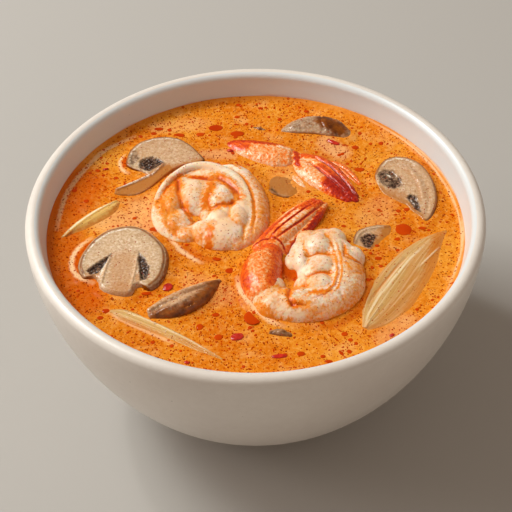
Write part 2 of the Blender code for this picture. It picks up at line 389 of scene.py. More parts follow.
def wallPoint(share, depth, nearby=1e-4):
    # radius and height in the wall: share runs up the outside, depth goes in
    s = bowlSizes
    top = rimHeight - s["lip"] / 2

    def outside(at):
        swell = (1 - (1 - at) ** s["belly"]) ** s["shoulder"]
        return Vector((s["baseRadius"] + (rimRadius - s["baseRadius"]) * swell,
                       s["footHeight"] + (top - s["footHeight"]) * at))

    along = outside(min(share + nearby, 1)) - outside(max(share - nearby, 0))
    return outside(share) + Vector((-along.y, along.x)).normalized() * depth


def wallDepth(share):
    # the wall is as thick as the lip at the top and full a little lower down
    s = bowlSizes
    return s["lip"] + (s["wall"] - s["lip"]) * min(1, (1 - share) / s["lipShare"])


def innerRadius(height, halvings=24):
    # radius of the bowl's inside at a height, found by halving
    low, high = 0.0, 1.0
    for _ in range(halvings):
        middle = (low + high) / 2
        below = wallPoint(middle, wallDepth(middle)).y < height
        low, high = (middle, high) if below else (low, middle)
    return wallPoint(low, wallDepth(low)).x


def turnLine(name, line, steps):
    # one point is pulled out along the profile, then the profile is spun round
    clearSelection()
    bpy.ops.mesh.primitive_plane_add(size=mm, location=(0, 0, 0))
    piece = bpy.context.object
    piece.name = name
    startEdit()
    bpy.ops.mesh.merge(type="CENTER")
    bpy.ops.transform.translate(value=(line[0][0] * mm, 0, line[0][1] * mm))
    for before, after in zip(line, line[1:]):
        step = ((after[0] - before[0]) * mm, 0, (after[1] - before[1]) * mm)
        bpy.ops.mesh.extrude_region_move(TRANSFORM_OT_translate={"value": step})
    bpy.ops.mesh.select_all(action="SELECT")
    bpy.ops.mesh.spin(steps=steps, angle=math.tau, center=(0, 0, 0), axis=(0, 0, 1))
    bpy.ops.mesh.select_all(action="SELECT")
    bpy.ops.mesh.remove_doubles(threshold=mm / 200)
    endEdit()
    return piece


def glazeMaterial():
    # stoneware under a cream glaze: satin shine with iron specks burnt through
    material, tree, where = newMaterial("glazed cream stoneware", {
        "Roughness": 0.38, "IOR": 1.5, "Coat Weight": 0.2, "Coat Roughness": 0.2})
    pools = addNode(tree, "TexNoise", {"Vector": where, "Scale": lumps(22), "Detail": 3})
    tone = addNode(tree, "ValToRGB", {0: pools}, stops={0.3: "E2D7CD", 0.7: "EDE4DA"})
    cloudy = addNode(tree, "TexNoise", {"Vector": where, "Scale": lumps(1.4), "Detail": 3})
    # inside, a cooler tone painted to offset the warm light the broth throws on the inner wall, and the
    # broth's orange stain just above its level
    across = addNode(tree, "SeparateXYZ", {0: where})
    height = across.node.outputs["Z"]
    plan = addNode(tree, "CombineXYZ", {0: across, 1: across.node.outputs["Y"]})
    reach = addNode(tree, "VectorMath", {0: plan}, "Value", operation="LENGTH")
    within = addNode(tree, "Math", {0: reach, 1: bowlSizes["insideReach"] * mm},
                     operation="LESS_THAN")
    above = addNode(tree, "Math", {0: height, 1: soupLevel - bowlSizes["toneBelow"] * mm},
                    operation="GREATER_THAN")
    inside = addNode(tree, "Math", {0: within, 1: above}, operation="MULTIPLY")
    wander = addNode(tree, "TexNoise", {"Vector": where, "Scale": lumps(6), "Detail": 3})
    level = addNode(tree, "Math", {0: wander, 1: -bowlSizes["stainWander"] * mm, 2: height},
                    operation="MULTIPLY_ADD")
    stain = addNode(tree, "MapRange", {
        0: level, 1: soupLevel + bowlSizes["stainTop"] * mm,
        2: soupLevel + bowlSizes["stainFull"] * mm, 4: 0.85})
    stained = addNode(tree, "Math", {0: inside, 1: stain}, operation="MULTIPLY")
    tone = layTones(tree, tone, [
        (cloudy, 0.3, "CDC0B2"), (dots(tree, where, 5.2, 0.2, 0.42, 0.4), 0.8, "6E5C4A"),
        (inside, 0.7, "D8DFE2"), (stained, 1.0, "D67A2C")])
    ripples = addNode(tree, "TexNoise", {"Vector": where, "Scale": lumps(7)})
    return dress(material, tone, ripples, 0.12, 0.5)


def makeBowl():
    s = bowlSizes
    rings, edge, footOut, footIn = (
        s["rings"], s["footEdge"], s["footRadius"], s["footRadius"] - s["footWidth"])
    inside = [wallPoint(share, wallDepth(share)) for share in
              [(i / rings) ** s["innerCrowding"] for i in range(rings + 1)]]
    lipX, lipY, lipR = rimRadius - s["lip"] / 2, rimHeight - s["lip"] / 2, s["lip"] / 2
    lip = [(lipX + lipR * math.cos(a), lipY + lipR * math.sin(a))
           for a in [math.radians(d) for d in range(180 - s["lipStep"], 0, -s["lipStep"])]]
    outside = [wallPoint((i / rings) ** s["outerCrowding"], 0) for i in range(rings, 0, -1)]
    foot = [(footOut + s["footSplay"], s["footHeight"]), (footOut, edge), (footOut - edge, 0),
            (footIn + edge, 0), (footIn, edge), (footIn - s["footSlope"], s["footHollow"]),
            (0, s["footHollow"])]
    line = [(0, inside[0].y), *[tuple(p) for p in inside], *lip,
            *[tuple(p) for p in outside], *foot]
    bowl = turnLine("stonewareBowl", line, s["steps"])
    return finishPiece(bowl, glazeMaterial(), "glazed_stoneware", "bowl")


def fleshMaterial():
    # cooked shrimp meat: milky and slightly see-through, so lobes glow at their edges and shine wet
    material, tree, where = newMaterial("cooked shrimp meat", {
        "Roughness": 0.35, "IOR": 1.4, "Specular IOR Level": 0.12, "Subsurface Weight": 0.6,
        "Subsurface Scale": 1.2 * mm, "Subsurface Radius": (1.0, 0.45, 0.2), "Coat Weight": 0.5,
        "Coat Roughness": 0.08})
    milky = addNode(tree, "TexNoise", {"Vector": where, "Scale": lumps(5), "Detail": 3})
    meat = addNode(tree, "ValToRGB", {0: milky}, stops={
        0.3: "FBC698", 0.5: "FED8B4", 0.7: "FFE8D2"})
    # chilli oil stains it: a soft amber wash, broken up by the grain, deepening in the hollows, partly
    # as oil gathered there and partly as painted shade in the creases
    grain = addNode(tree, "TexNoise", {
        "Vector": where, "Scale": lumps(0.6), "Detail": 4, "Roughness": 0.7})
    patch = addNode(tree, "TexNoise", {"Vector": where, "Scale": lumps(3), "Detail": 3})
    tint = addNode(tree, "Attribute", out="Fac", attribute_name="tint")
    tint = addNode(tree, "Math", {0: tint, 1: wetBand(tree, where, 1.7, 0.6, 0.7)},
                   operation="MAXIMUM", use_clamp=True)
    # painted shade: the hollow mask pushes the creases toward amber and deeper orange
    hollow = addNode(tree, "Attribute", out="Fac", attribute_name="hollow")
    oil = 0.0
    for value, share in ((tint, 1.15), (hollow, 0.6), (grain, 1.5), (patch, 0.8)):
        oil = addNode(tree, "Math", {0: value, 1: share, 2: oil}, operation="MULTIPLY_ADD")
    wash = addNode(tree, "MapRange", {0: oil, 1: 1.25, 2: 1.78, 4: 0.96})
    light = addNode(tree, "MapRange", {0: oil, 1: 1.66, 2: 2.26})
    deep = addNode(tree, "MapRange", {0: oil, 1: 2.32, 2: 2.76})
    broken = addNode(tree, "MapRange", {0: grain, 1: 0.36, 2: 0.5, 3: 0.2, 4: 0.75})
    seam = addNode(tree, "Attribute", out="Fac", attribute_name="seam")
    seam = addNode(tree, "Math", {0: seam, 1: broken}, operation="MULTIPLY")
    tone = layTones(tree, meat, [
        (wash, 1.0, "F2920E"), (light, 1.0, "EC7400"), (deep, 1.0, "CC4602"),
        (seam, 1.0, "C0580C"), (dots(tree, where, 1.6, 0.12, 0.26, 0.4), 0.6, "B05E14")])
    # smooth where it is clean, granular where it is stained
    pimples = addNode(tree, "TexNoise", {"Vector": where, "Scale": lumps(0.8)})
    coarse = addNode(tree, "Math", {0: wash, 1: 0.35}, operation="ADD", use_clamp=True)
    relief = addNode(tree, "Math", {0: pimples, 1: coarse}, operation="MULTIPLY")
    return dress(material, tone, relief, 0.5, 0.9)


def shellMaterial():
    # cooked shrimp shell: thin, glossy and orange-red, paler and granular where it lies on meat
    material, tree, where = newMaterial("cooked shrimp shell", {
        "Roughness": 0.36, "IOR": 1.45, "Specular IOR Level": 0.15, "Subsurface Weight": 0.15,
        "Subsurface Scale": 0.8 * mm, "Subsurface Radius": (1.0, 0.35, 0.12), "Coat Weight": 0.55,
        "Coat Roughness": 0.08})
    grain = addNode(tree, "TexNoise", {
        "Vector": where, "Scale": lumps(0.6), "Detail": 4, "Roughness": 0.7})
    tint = addNode(tree, "Attribute", out="Fac", attribute_name="tint")
    colour = addNode(tree, "Math", {0: grain, 1: 1.5, 2: tint}, operation="MULTIPLY_ADD")
    colour = addNode(tree, "MapRange", {0: colour, 1: 0.64, 2: 1.86})
    tone = addNode(tree, "ValToRGB", {0: colour}, stops={
        0.0: "FCDCBE", 0.2: "FAAA68", 0.34: "F67C20", 0.52: "EC5C06", 0.74: "CA3002",
        0.96: "9C0E00"})
    tone = layTones(tree, tone, [(dots(tree, where, 1.4, 0.08, 0.2, 0.45), 0.5, "8A2C10")])
    pimples = addNode(tree, "TexNoise", {"Vector": where, "Scale": lumps(0.7)})
    return dress(material, tone, pimples, 0.42, 0.9)


shrimpSkin = dict(
    roughness=[(4.0, 0.14), (1.0, 0.07)], halo=(1.6, 0.45), haloFrom=1, seamStroke=(0.4, 0.85),
    hollowPasses=36, hollowDepth=0.55)  # the halo is wider and weaker than its orange stroke

leftShrimp = dict(
    cell=0.36, softening=6, flat=0.86,
    tubes=[
        [(-30.5, -4.6, -0.6, 3.0), (-35.4, 2, -0.2, 4.6), (-36.4, 12, 0, 5.2), (-32, 22, -0.2, 5.6),
         (-24, 28.5, -0.4, 6), (-14, 27, 0, 6.6), (-7, 20, 0, 6.6), (-5.5, 10, 0, 6.4),
         (-8, 1, 0, 6.6), (-14, -3, 0, 6)],
        [(-15, 33.4, -0.8, 4.6), (-8.5, 32.6, -0.7, 5.6), (-3.6, 25.5, -0.7, 6),
         (-0.8, 17.5, -0.7, 6.1), (-0.1, 9.5, -0.7, 6.1), (-0.4, 2, -0.7, 6),
         (-3, -4, -0.7, 5.8), (-8, -8, -0.7, 4.8)],
        [(-40.2, 6, 1.6, 1.0), (-40, 12, 2.9, 1.15), (-37.4, 20.8, 4.1, 1.25),
         (-31.6, 29.2, 4.8, 1.4), (-24.4, 33.6, 4.7, 1.8), (-18, 33.2, 4.3, 2.4),
         (-11.8, 30.0, 3.7, 2.6), (-7.2, 25.6, 3.5, 2.5), (-4.4, 20, 3.4, 2.4),
         (-2.8, 13.5, 3.2, 2.3), (-2.2, 7.5, 3.0, 2.2), (-2.2, 0, 2.6, 2.0), (-3.4, -6, 1.9, 1.6)],
    ],
    lobes=[
        (-24.7, 18.6, 0.9, 7.0, 10.2, 5.7), (-13.5, 15.4, 1.3, 7.1, 8.8, 5.6),
        (-19.5, 18.5, 0, 12.6, 11.6, 6.0), (-13, -2.6, -0.2, 12.2, 9.9, 6.4),
        (-12, 8, 0, 7.4, 7, 5.6), (-30, 5.6, -0.2, 5.4, 6.6, 4.4, 20),
        (-26.6, -2.4, -0.6, 6.6, 5.2, 4.0, 15), (-29.4, 1.4, -0.4, 5.4, 5.4, 4.1),
        (-18.6, 7.4, 0, 3.6, 3.6, 4.0),
        (-14.4, 3.4, 1.5, 5.2, 5.6, 4.7, 15), (-6.8, 4.0, 1.9, 4.6, 7.8, 4.8, 5),
        (-20.2, -2.6, 0.8, 5.4, 6.6, 4.6, 30), (-33.4, 13.5, 1.0, 4.4, 8.6, 4.2, -8),
        (-32.5, 3.5, 0.6, 4.0, 6.4, 3.8, 12),
    ],
    grooves=[
        ([(-27, 27.4), (-22.1, 26.8), (-18, 25.4), (-14.8, 25.6), (-10.8, 22.6), (-7.6, 18.2),
          (-5.8, 13.7)], 1.2, 0.7),
        ([(-18.5, 8.0), (-14.5, 9.6), (-10.2, 10.2), (-6.4, 13.2)], 0.7, 0.5),
        ([(-10.4, 9), (-10, 3)], 0.6, 0.3),
        ([(-10.8, 34.6), (-5.6, 28.6), (-2.2, 20.8), (-0.3, 12.3), (0.1, 3.5), (-1.2, -5)], 0.5, 0.35),
        ([(-31, 25), (-30.6, 18), (-28.8, 11), (-26, 6.4)], 0.8, 0.6),
        ([(-4.4, -3), (-4.8, -9)], 0.8, 0.4),
        ([(-1.8, 31.5), (2.8, 33)], 0.8, 0.5), ([(0.4, 20), (5.4, 21)], 0.7, 0.3),
        ([(0.6, 6), (5.6, 5)], 0.7, 0.3),
    ],
    seams=[(0, 1), (1, 0), (4, 0)],  # which groove is stained, and from which point
    orange=[
        ([(-27.5, 28), (-22.1, 27.2), (-18, 25.8)], 0.7, 1.0),
        ([(-30.4, 27), (-31.2, 23.5), (-31.4, 19.8)], 1.3, 1.0),
        ([(-38.6, 8), (-38.2, 13), (-35.4, 21), (-30, 27.2), (-24, 30.6)], 0.5, 0.9),
        ([(-36, 8), (-34, 16), (-31, 22)], 3.0, 0.5), ([(-26, 24), (-25.6, 12)], 4.6, 0.14),
        ([(-18.6, 25.5), (-17, 19.4), (-18.8, 14.9), (-19.6, 12.3), (-18.7, 7.7)], 1.7, 0.85),
        ([(-16.8, 26.4), (-14.1, 26), (-11, 23.4), (-8.6, 19.2), (-6.4, 14.5)], 1.9, 1.0),
        ([(-16.7, 7.6), (-14.1, 9.2), (-10.5, 9.4), (-7, 12.6)], 1.3, 0.85),
        ([(-17.3, -1.4), (-17.9, -5.8), (-18.7, -10.8), (-18.7, -16)], 1.4, 0.95),
        ([(-21.5, -3), (-22, -9)], 1.2, 0.45),
        ([(-38.1, 13), (-36.1, 6.5), (-34.2, 0.6), (-32, -2)], 2.4, 0.62),
        ([(-34, 18), (-34.4, 8), (-30, 0)], 4.0, 0.42), ([(-30, -3), (-23, -6)], 3.2, 0.4),
        ([(-28.6, 14), (-26.6, 6), (-24.4, 3)], 1.3, 0.7),
        ([(-14, 12), (-9, 17)], 2.6, 0.3), ([(-21, 20), (-20, 12)], 2.6, 0.34),
        ([(-6.4, 30.6), (-2.9, 23.1), (-1.2, 16.4), (-0.6, 9.8), (-0.9, 1.4), (-2.7, -7.4)], 0.8, 0.62),
        # painted shade: a deeper orange over the outer body's shaded right side
        ([(0.4, 27), (4.4, 19), (5.2, 9), (4.4, 0), (0, -7)], 4.4, 0.42),
        ([(-8, 1.5), (-5.4, -2)], 1.8, 0.36), ([(-12, -13), (-5, -11)], 2.0, 0.3),
        ([(-9, 37), (-5, 32)], 1.0, 0.5),
    ])

frontShrimp = dict(
    cell=0.36, softening=6, flat=0.78,
    tubes=[
        [(4, -33, 0, 7.2), (6, -40, 0, 7.4), (13, -42.6, 0, 8.6), (22, -42.2, 0, 8.8),
         (31.4, -36.2, 0, 8.6), (33.6, -26, 0, 8.4), (32, -17, 0, 7.8), (26.2, -9.0, 0, 7.2)],
        [(14, -46, 0.4, 4.6), (23, -46.4, 1.0, 4.6), (31, -41.6, 1.6, 4.6), (35.6, -34, 1.8, 4.4),
         (36.6, -26, 1.4, 4.2)],
    ],
    lobes=[
        (24.4, -35.0, 2.6, 6.0, 6.0, 4.8), (25.2, -24.6, 2.2, 6.2, 5.8, 4.8),
        (24.4, -13.4, 2.2, 6.2, 6.8, 5.0), (17.8, -20, 0.9, 3.8, 6.0, 4.7),
        (13.6, -18.8, -1.2, 3.3, 5.6, 3.8), (20.4, -8.0, 0.7, 5.8, 5.2, 4.4, 20),
        (25, -24, 0.2, 9.6, 16.6, 5.3), (19, -15, 0, 6.4, 9, 4.4),
        (30.4, -8.6, 0.9, 5.2, 6.6, 4.9, -10),
        (37.4, -17.8, -0.2, 5.0, 6.0, 5.4), (7.0, -42.0, -0.2, 7.8, 7.4, 6.4),
        (16.4, -41.8, 0.6, 6.4, 7.2, 6.2), (18.4, -33, 0.2, 4.4, 5.4, 4.6),
    ],
    grooves=[
        ([(12.7, -35.8), (11.9, -43.5), (13.4, -46.8)], 0.7, 0.6),
        ([(13.4, -46.4), (18.3, -47)], 0.9, 0.5),
        ([(28.3, -9), (30.2, -16.4), (31.6, -24.2), (31.4, -31.2), (29.8, -37.8), (25.6, -42.4),
          (20, -44.6)], 0.5, 0.2),
        ([(19.4, -20.2), (24, -18.7), (29.4, -19.6)], 0.7, 0.4),
        ([(19.4, -30), (24.6, -28.8), (30, -29.6)], 0.7, 0.45),
        ([(19, -41.4), (23, -41), (28, -40.6)], 0.7, 0.45),
        ([(26.4, -5), (27.6, -10.4)], 0.7, 0.4),
        ([(34, -13), (34, -21.4), (38, -23.6), (41, -22.8)], 0.7, 0.6),
        ([(36, -31), (39.6, -29), (42, -30.4)], 0.7, 0.35),
        ([(34, -45), (31.5, -41)], 0.7, 0.35),
    ],
    seams=[(0, 0), (1, 0), (2, 2), (3, 0), (4, 0), (7, 0)],
    orange=[
        ([(12.7, -35.8), (11.9, -43.5), (13.4, -46.6), (18.6, -47.2)], 1.3, 1.0),
        ([(8, -42), (20, -41), (29, -33), (29, -20), (23, -10)], 9, 0.2),
        ([(27.7, -9), (29.6, -16.4), (30.8, -24.2), (30.6, -31.2), (29, -37.6), (25, -42),
          (20, -44.4)], 0.5, 0.62),
        ([(29.6, -9), (31.4, -15), (32.6, -22), (32.6, -31), (31, -38.6), (27, -43.6)], 0.5, 0.55),
        ([(19.4, -20.6), (24, -18.9), (29.4, -19.8)], 0.5, 0.45),
        ([(19.4, -30.4), (24.6, -29.2), (30, -30)], 0.6, 0.7),
        ([(18.6, -41.8), (22, -41.2), (26, -41.4)], 1.4, 0.7),
        ([(17, -6.6), (22, -3.2), (28, -3.4)], 1.4, 0.36),
        ([(34.4, -13), (34.6, -20), (38, -23), (41, -22.6)], 0.5, 0.8),
        ([(33.4, -12), (35.4, -24), (35, -36)], 1.8, 0.34), ([(19, -12), (19.6, -22)], 1.2, 0.4),
        # painted shade: warm orange over the outer body's shaded lower right side, standing in for its
        # glow there
        ([(42, -27), (40, -38), (34, -46), (22, -52)], 4.4, 0.42),
        ([(36.4, -25.4), (40, -25.4), (39.6, -29.6)], 1.5, 0.4),
        ([(2, -41), (6, -38)], 2.4, 0.5), ([(-1, -44), (5, -49.4)], 2.2, 0.55),
        ([(8, -36.6), (10, -41)], 1.6, 0.5), ([(14, -38), (18, -37)], 2.2, 0.55),
        ([(20, -50.4), (28, -50), (35, -45)], 1.2, 0.5), ([(4, -51), (12, -52.4)], 2.0, 0.7),
    ])

shellRoughness = (1.3, 0.16)  # size and depth

frontShell = dict(
    cell=0.3, softening=8, flat=0.86,
    tubes=[[(5.6, -15.2, 1.3, 5.0), (4.2, -18.2, 0.9, 6.7), (2.5, -23, 0.4, 8.0),
            (1.9, -29.5, 0.1, 8.2), (2.7, -34.6, 0, 7.6)]],
    grooves=[],
    tints=[([(3, -14), (2, -24), (2, -34)], 9, 0.26),
           ([(7.4, -15), (8.8, -20), (8.6, -27), (6.4, -34)], 3.4, 0.55),
           ([(0, -15), (4, -13), (9, -15)], 2.4, 0.58),
           ([(9.8, -14), (11, -20), (10.6, -28)], 0.7, 1.0),
           ([(-1, -13), (-4, -18), (-5.4, -26), (-3.6, -35)], 2.0, 0.62),
           ([(0.4, -13.6), (3.4, -10.8), (7, -10.6), (9.8, -13), (11, -16)], 0.5, 1.0)])


frontFan = dict(
    cell=0.3, softening=6, flat=0.84,
    tubes=[
        [(5.4, -13.4, 0.2, 5.2), (9.8, -6.2, 1.2, 5.6), (15.6, 0.8, 1.6, 5.0), (20.8, 6.8, 1.8, 4.1),
         (25.2, 12.2, 2.2, 2.2)],
        [(1.6, -11.6, 1.2, 3.2), (7.2, -4.2, 1.9, 3.5), (13.2, 3.4, 2.3, 3.2), (18.8, 9.4, 2.5, 2.6),
         (23.2, 13.8, 2.6, 1.3)],
        [(9.0, -12.8, 0.4, 3.4), (13.8, -7.4, 0.9, 3.5), (19.2, -1.2, 1.2, 3.2), (23.8, 5.4, 1.4, 2.7),
         (28.0, 12.4, 1.7, 1.2)],
        [(5.6, -11, 3.4, 1.9), (10.6, -5, 4.2, 1.7), (16, 0.8, 4.4, 1.5), (21, 6.4, 4.0, 1.3),
         (25.8, 12, 3.2, 0.8)],
    ],
    grooves=[([(4.6, -10.2), (9.6, -3.9), (14.6, 1.7), (19.8, 7.4), (24.9, 12.4)], 0.4, 0.55),
             ([(7.0, -10.9), (12.0, -6.1), (17.5, -0.5), (22.2, 5.1), (26.8, 11.2)], 0.4, 0.5),
             ([(1.4, -8.8), (6.8, -1.6), (12.6, 5.4), (19, 11.4)], 0.4, 0.3),
             ([(10.6, -12), (15.2, -7), (20.4, -0.4), (25.2, 6.6)], 0.4, 0.3)],
    stained=[(0.6, 0.95), (0.5, 0.85)],  # reach and strength along the first grooves
    tints=[([(4, -13), (12, -2), (24, 13)], 9, 0.06),
           ([(9, -12), (14, -6), (20, 1), (25, 8)], 2.0, 0.16), ([(2, -12), (7, -6)], 4, 0.36),
           ([(0.6, -11.6), (7, -2.8), (13.4, 5), (20, 11.6)], 0.8, 0.7),
           ([(12, -14.4), (16.6, -9.4), (21.6, -2.4), (26, 5.4), (29, 11)], 1.5, 0.9),
           ([(0.4, -10), (4, -4), (9, 2.4)], 1.4, 0.6),
           ([(20, 9), (25, 13)], 3.0, 0.62),
           ([(-2.6, -13), (2.6, -9.7), (7.2, -9.6), (10.4, -12.2), (12.2, -16)], 0.45, 1.0)])

backShell = dict(
    cell=0.28, softening=3, flat=0.5,
    tubes=[[(-11.6, 53, -0.8, 1.8), (-7.6, 51.6, -0.5, 3.8), (-2.6, 49.2, -0.4, 5.6),
            (3.6, 46.6, -0.4, 6.8), (9.6, 44.2, -0.4, 7.2), (14.6, 42.8, -0.5, 6.0),
            (17.2, 42, -0.6, 4.6)]],
    grooves=[([(16.5, 47), (15.4, 42), (16.2, 37.4)], 0.9, 0.5)],
    tints=[([(-11, 54), (-5, 53.6), (2, 52), (8, 50.8)], 2.6, 0.8),
           ([(-10, 51.4), (-4, 48.6)], 2.6, 0.62),
           ([(9, 50), (15, 48.6)], 1.2, 0.55), ([(0, 46), (8, 42), (14, 41)], 4.5, 0.2),
           ([(17, 48), (17.6, 42), (16.6, 37)], 1.2, 0.85)])

backFan = dict(
    cell=0.28, softening=2, flat=0.62,
    tubes=[
        [(18.6, 39.6, -0.4, 3.6), (21.6, 34.6, 0, 4.8), (26.4, 28.6, 0.1, 4.8), (31.6, 22.6, 0, 3.8),
         (37.4, 17.2, -0.2, 2.4)],
        [(20.4, 42.6, -0.2, 3.0), (25.4, 39, 0.2, 4.4), (30.4, 33.6, 0.3, 4.6), (35, 27, 0.2, 3.8),
         (39.8, 18.6, 0, 2.2)],
        [(22, 38.6, 0.8, 2.2), (27.4, 33, 1.4, 3.1), (32.4, 26.6, 1.5, 2.9), (37, 20.4, 1.1, 2.2),
         (40.4, 16.2, 0.4, 1.4)],
    ],
    grooves=[([(23, 37.6), (27, 31.4), (31.8, 25.2), (36.6, 18.8)], 0.45, 0.8),
             ([(24.8, 40.4), (31, 34.4), (35.8, 27.4), (40, 19.6)], 0.45, 0.8)],
    stained=[(0.5, 1.0), (0.5, 1.0)],
    tints=[([(20, 44), (26, 41.6), (32, 36), (37, 29)], 2.6, 0.58),
           ([(19, 38), (24, 31), (30, 25)], 3.8, 0.14),
           ([(25, 36.6), (30, 31), (35, 24.6)], 1.9, 0.62),
           ([(32, 24.4), (37, 19.6), (41, 15.6)], 4.8, 1.0),
           ([(18.4, 44), (17.4, 38), (19, 34)], 0.9, 0.85)])

backBlade = dict(
    cell=0.28, softening=2, flat=0.4,
    tubes=[[(30.6, 40.6, -0.2, 1.2), (35.4, 36.8, 0, 2.2), (39.6, 31, 0, 2.0),
            (42.6, 26.2, -0.1, 0.9)]],
    grooves=[([(32, 39.4), (37, 34.6), (42, 27)], 0.4, 0.4)],
    tints=[([(31, 40), (37, 35), (42.6, 26)], 3.0, 0.36)])

backLeg = dict(
    cell=0.24, softening=2, flat=0.5,
    tubes=[[(15.4, 34, -0.4, 0.7), (17, 30, -0.1, 1.6), (19.6, 26.2, -0.2, 1.4),
            (22.6, 23.6, -0.5, 0.6)]],
    grooves=[([(15.6, 33.6), (17.8, 29), (21.6, 24.6)], 0.35, 0.3)],
    tints=[([(15, 34), (22, 24)], 2.0, 0.1)])


def makeShrimpMeat(name, values, node, meat):
    v = {**shrimpSkin, **values}
    parts = [tube(knots, v["flat"]) for knots in v["tubes"]]
    parts += [ball(*lobe) for lobe in v["lobes"]]
    piece = fuse(name, parts, v["cell"], v["softening"])
    pressLines(piece, v["grooves"])
    for size, depth in v["roughness"]:
        roughen(piece, size, depth)
    places, _ = readMesh(piece)
    wider, weaker = v["halo"]
    halos = [(line, reach * wider, strength * weaker)
             for line, reach, strength in v["orange"] if reach > v["haloFrom"]]
    seams = [(v["grooves"][k][0][first:], *v["seamStroke"]) for k, first in v["seams"]]
    paint(piece, tint=np.maximum(strokes(places, v["orange"]), strokes(places, halos)),
          hollow=hollows(piece, v["hollowPasses"], v["hollowDepth"]), seam=strokes(places, seams))
    return finishPiece(piece, meat, "cooked_shrimp", node)


def makeShell(name, values, shell, *nodes):
    parts = [tube(knots, values["flat"]) for knots in values["tubes"]]
    piece = fuse(name, parts, values["cell"], values["softening"])
    pressLines(piece, values["grooves"])
    roughen(piece, *shellRoughness)
    places, _ = readMesh(piece)
    stained = [(groove[0], *stroke) for groove, stroke
               in zip(values["grooves"], values.get("stained", []))]
    paint(piece, tint=strokes(places, values["tints"] + stained))
    return finishPiece(piece, shell, "cooked_shrimp", *nodes)


def mushroomMaterial():
    # poached button mushroom: spongy cream cut face, brown skin at the rim, purple-brown gills
    material, tree, where = newMaterial("poached button mushroom", {
        "Roughness": 0.4, "IOR": 1.4, "Specular IOR Level": 0.1, "Subsurface Weight": 0.2,
        "Subsurface Scale": 0.8 * mm, "Subsurface Radius": (1.0, 0.6, 0.25), "Coat Weight": 0.5,
        "Coat Roughness": 0.1})
    fibre = addNode(tree, "TexNoise", {
        "Vector": where, "Scale": lumps(0.5), "Detail": 4, "Roughness": 0.7})
    face = addNode(tree, "ValToRGB", {0: fibre}, stops={
        0.34: "B8906A", 0.5: "D8B896", 0.64: "F2DEC2"})
    patches = addNode(tree, "TexNoise", {"Vector": where, "Scale": lumps(4)})
    ragged = addNode(tree, "TexNoise", {
        "Vector": where, "Scale": lumps(1.3), "Detail": 3, "Roughness": 0.7})
    gill = addNode(tree, "Attribute", out="Fac", attribute_name="gill")
    gill = addNode(tree, "Math", {0: ragged, 1: gill}, operation="ADD")
    gill = addNode(tree, "MapRange", {0: gill, 1: 0.72, 2: 1.25})
    folds = addNode(tree, "ValToRGB", {0: fibre}, stops={
        0.36: "1C0A04", 0.5: "442A1C", 0.66: "A67E62"})
    brown = addNode(tree, "TexNoise", {"Vector": where, "Scale": lumps(1.6), "Detail": 3})
    brown = addNode(tree, "ValToRGB", {0: brown}, stops={0.3: "5A2600", 0.7: "9E5204"})
    # painted highlights: pale broken glints laid along the lit edges of the cut faces
    gleam = addNode(tree, "Attribute", out="Fac", attribute_name="gleam")
    sparkle = addNode(tree, "MapRange", {0: fibre, 1: 0.42, 2: 0.56, 3: 0.1})
    sparkle = addNode(tree, "Math", {0: gleam, 1: sparkle}, operation="MULTIPLY")
    tone = layTones(tree, face, [
        (patches, 0.5, "CCA070"), ("rim", 1.0, "A8835A"),
        (wetBand(tree, where, 1.0, -0.2, 0.6), 1.0, "D0853A"), ("film", 1.0, "B87028"),
        (gill, 1.0, folds), ("skin", 1.0, brown), (sparkle, 1.0, "FFF2E0"),
        (dots(tree, where, 2.0, 0.1, 0.22, 0.3), 0.45, "8F5A22")])
    sponge = addNode(tree, "TexNoise", {"Vector": where, "Scale": lumps(0.7)})
    return dress(material, tone, sponge, 0.16, 0.9)


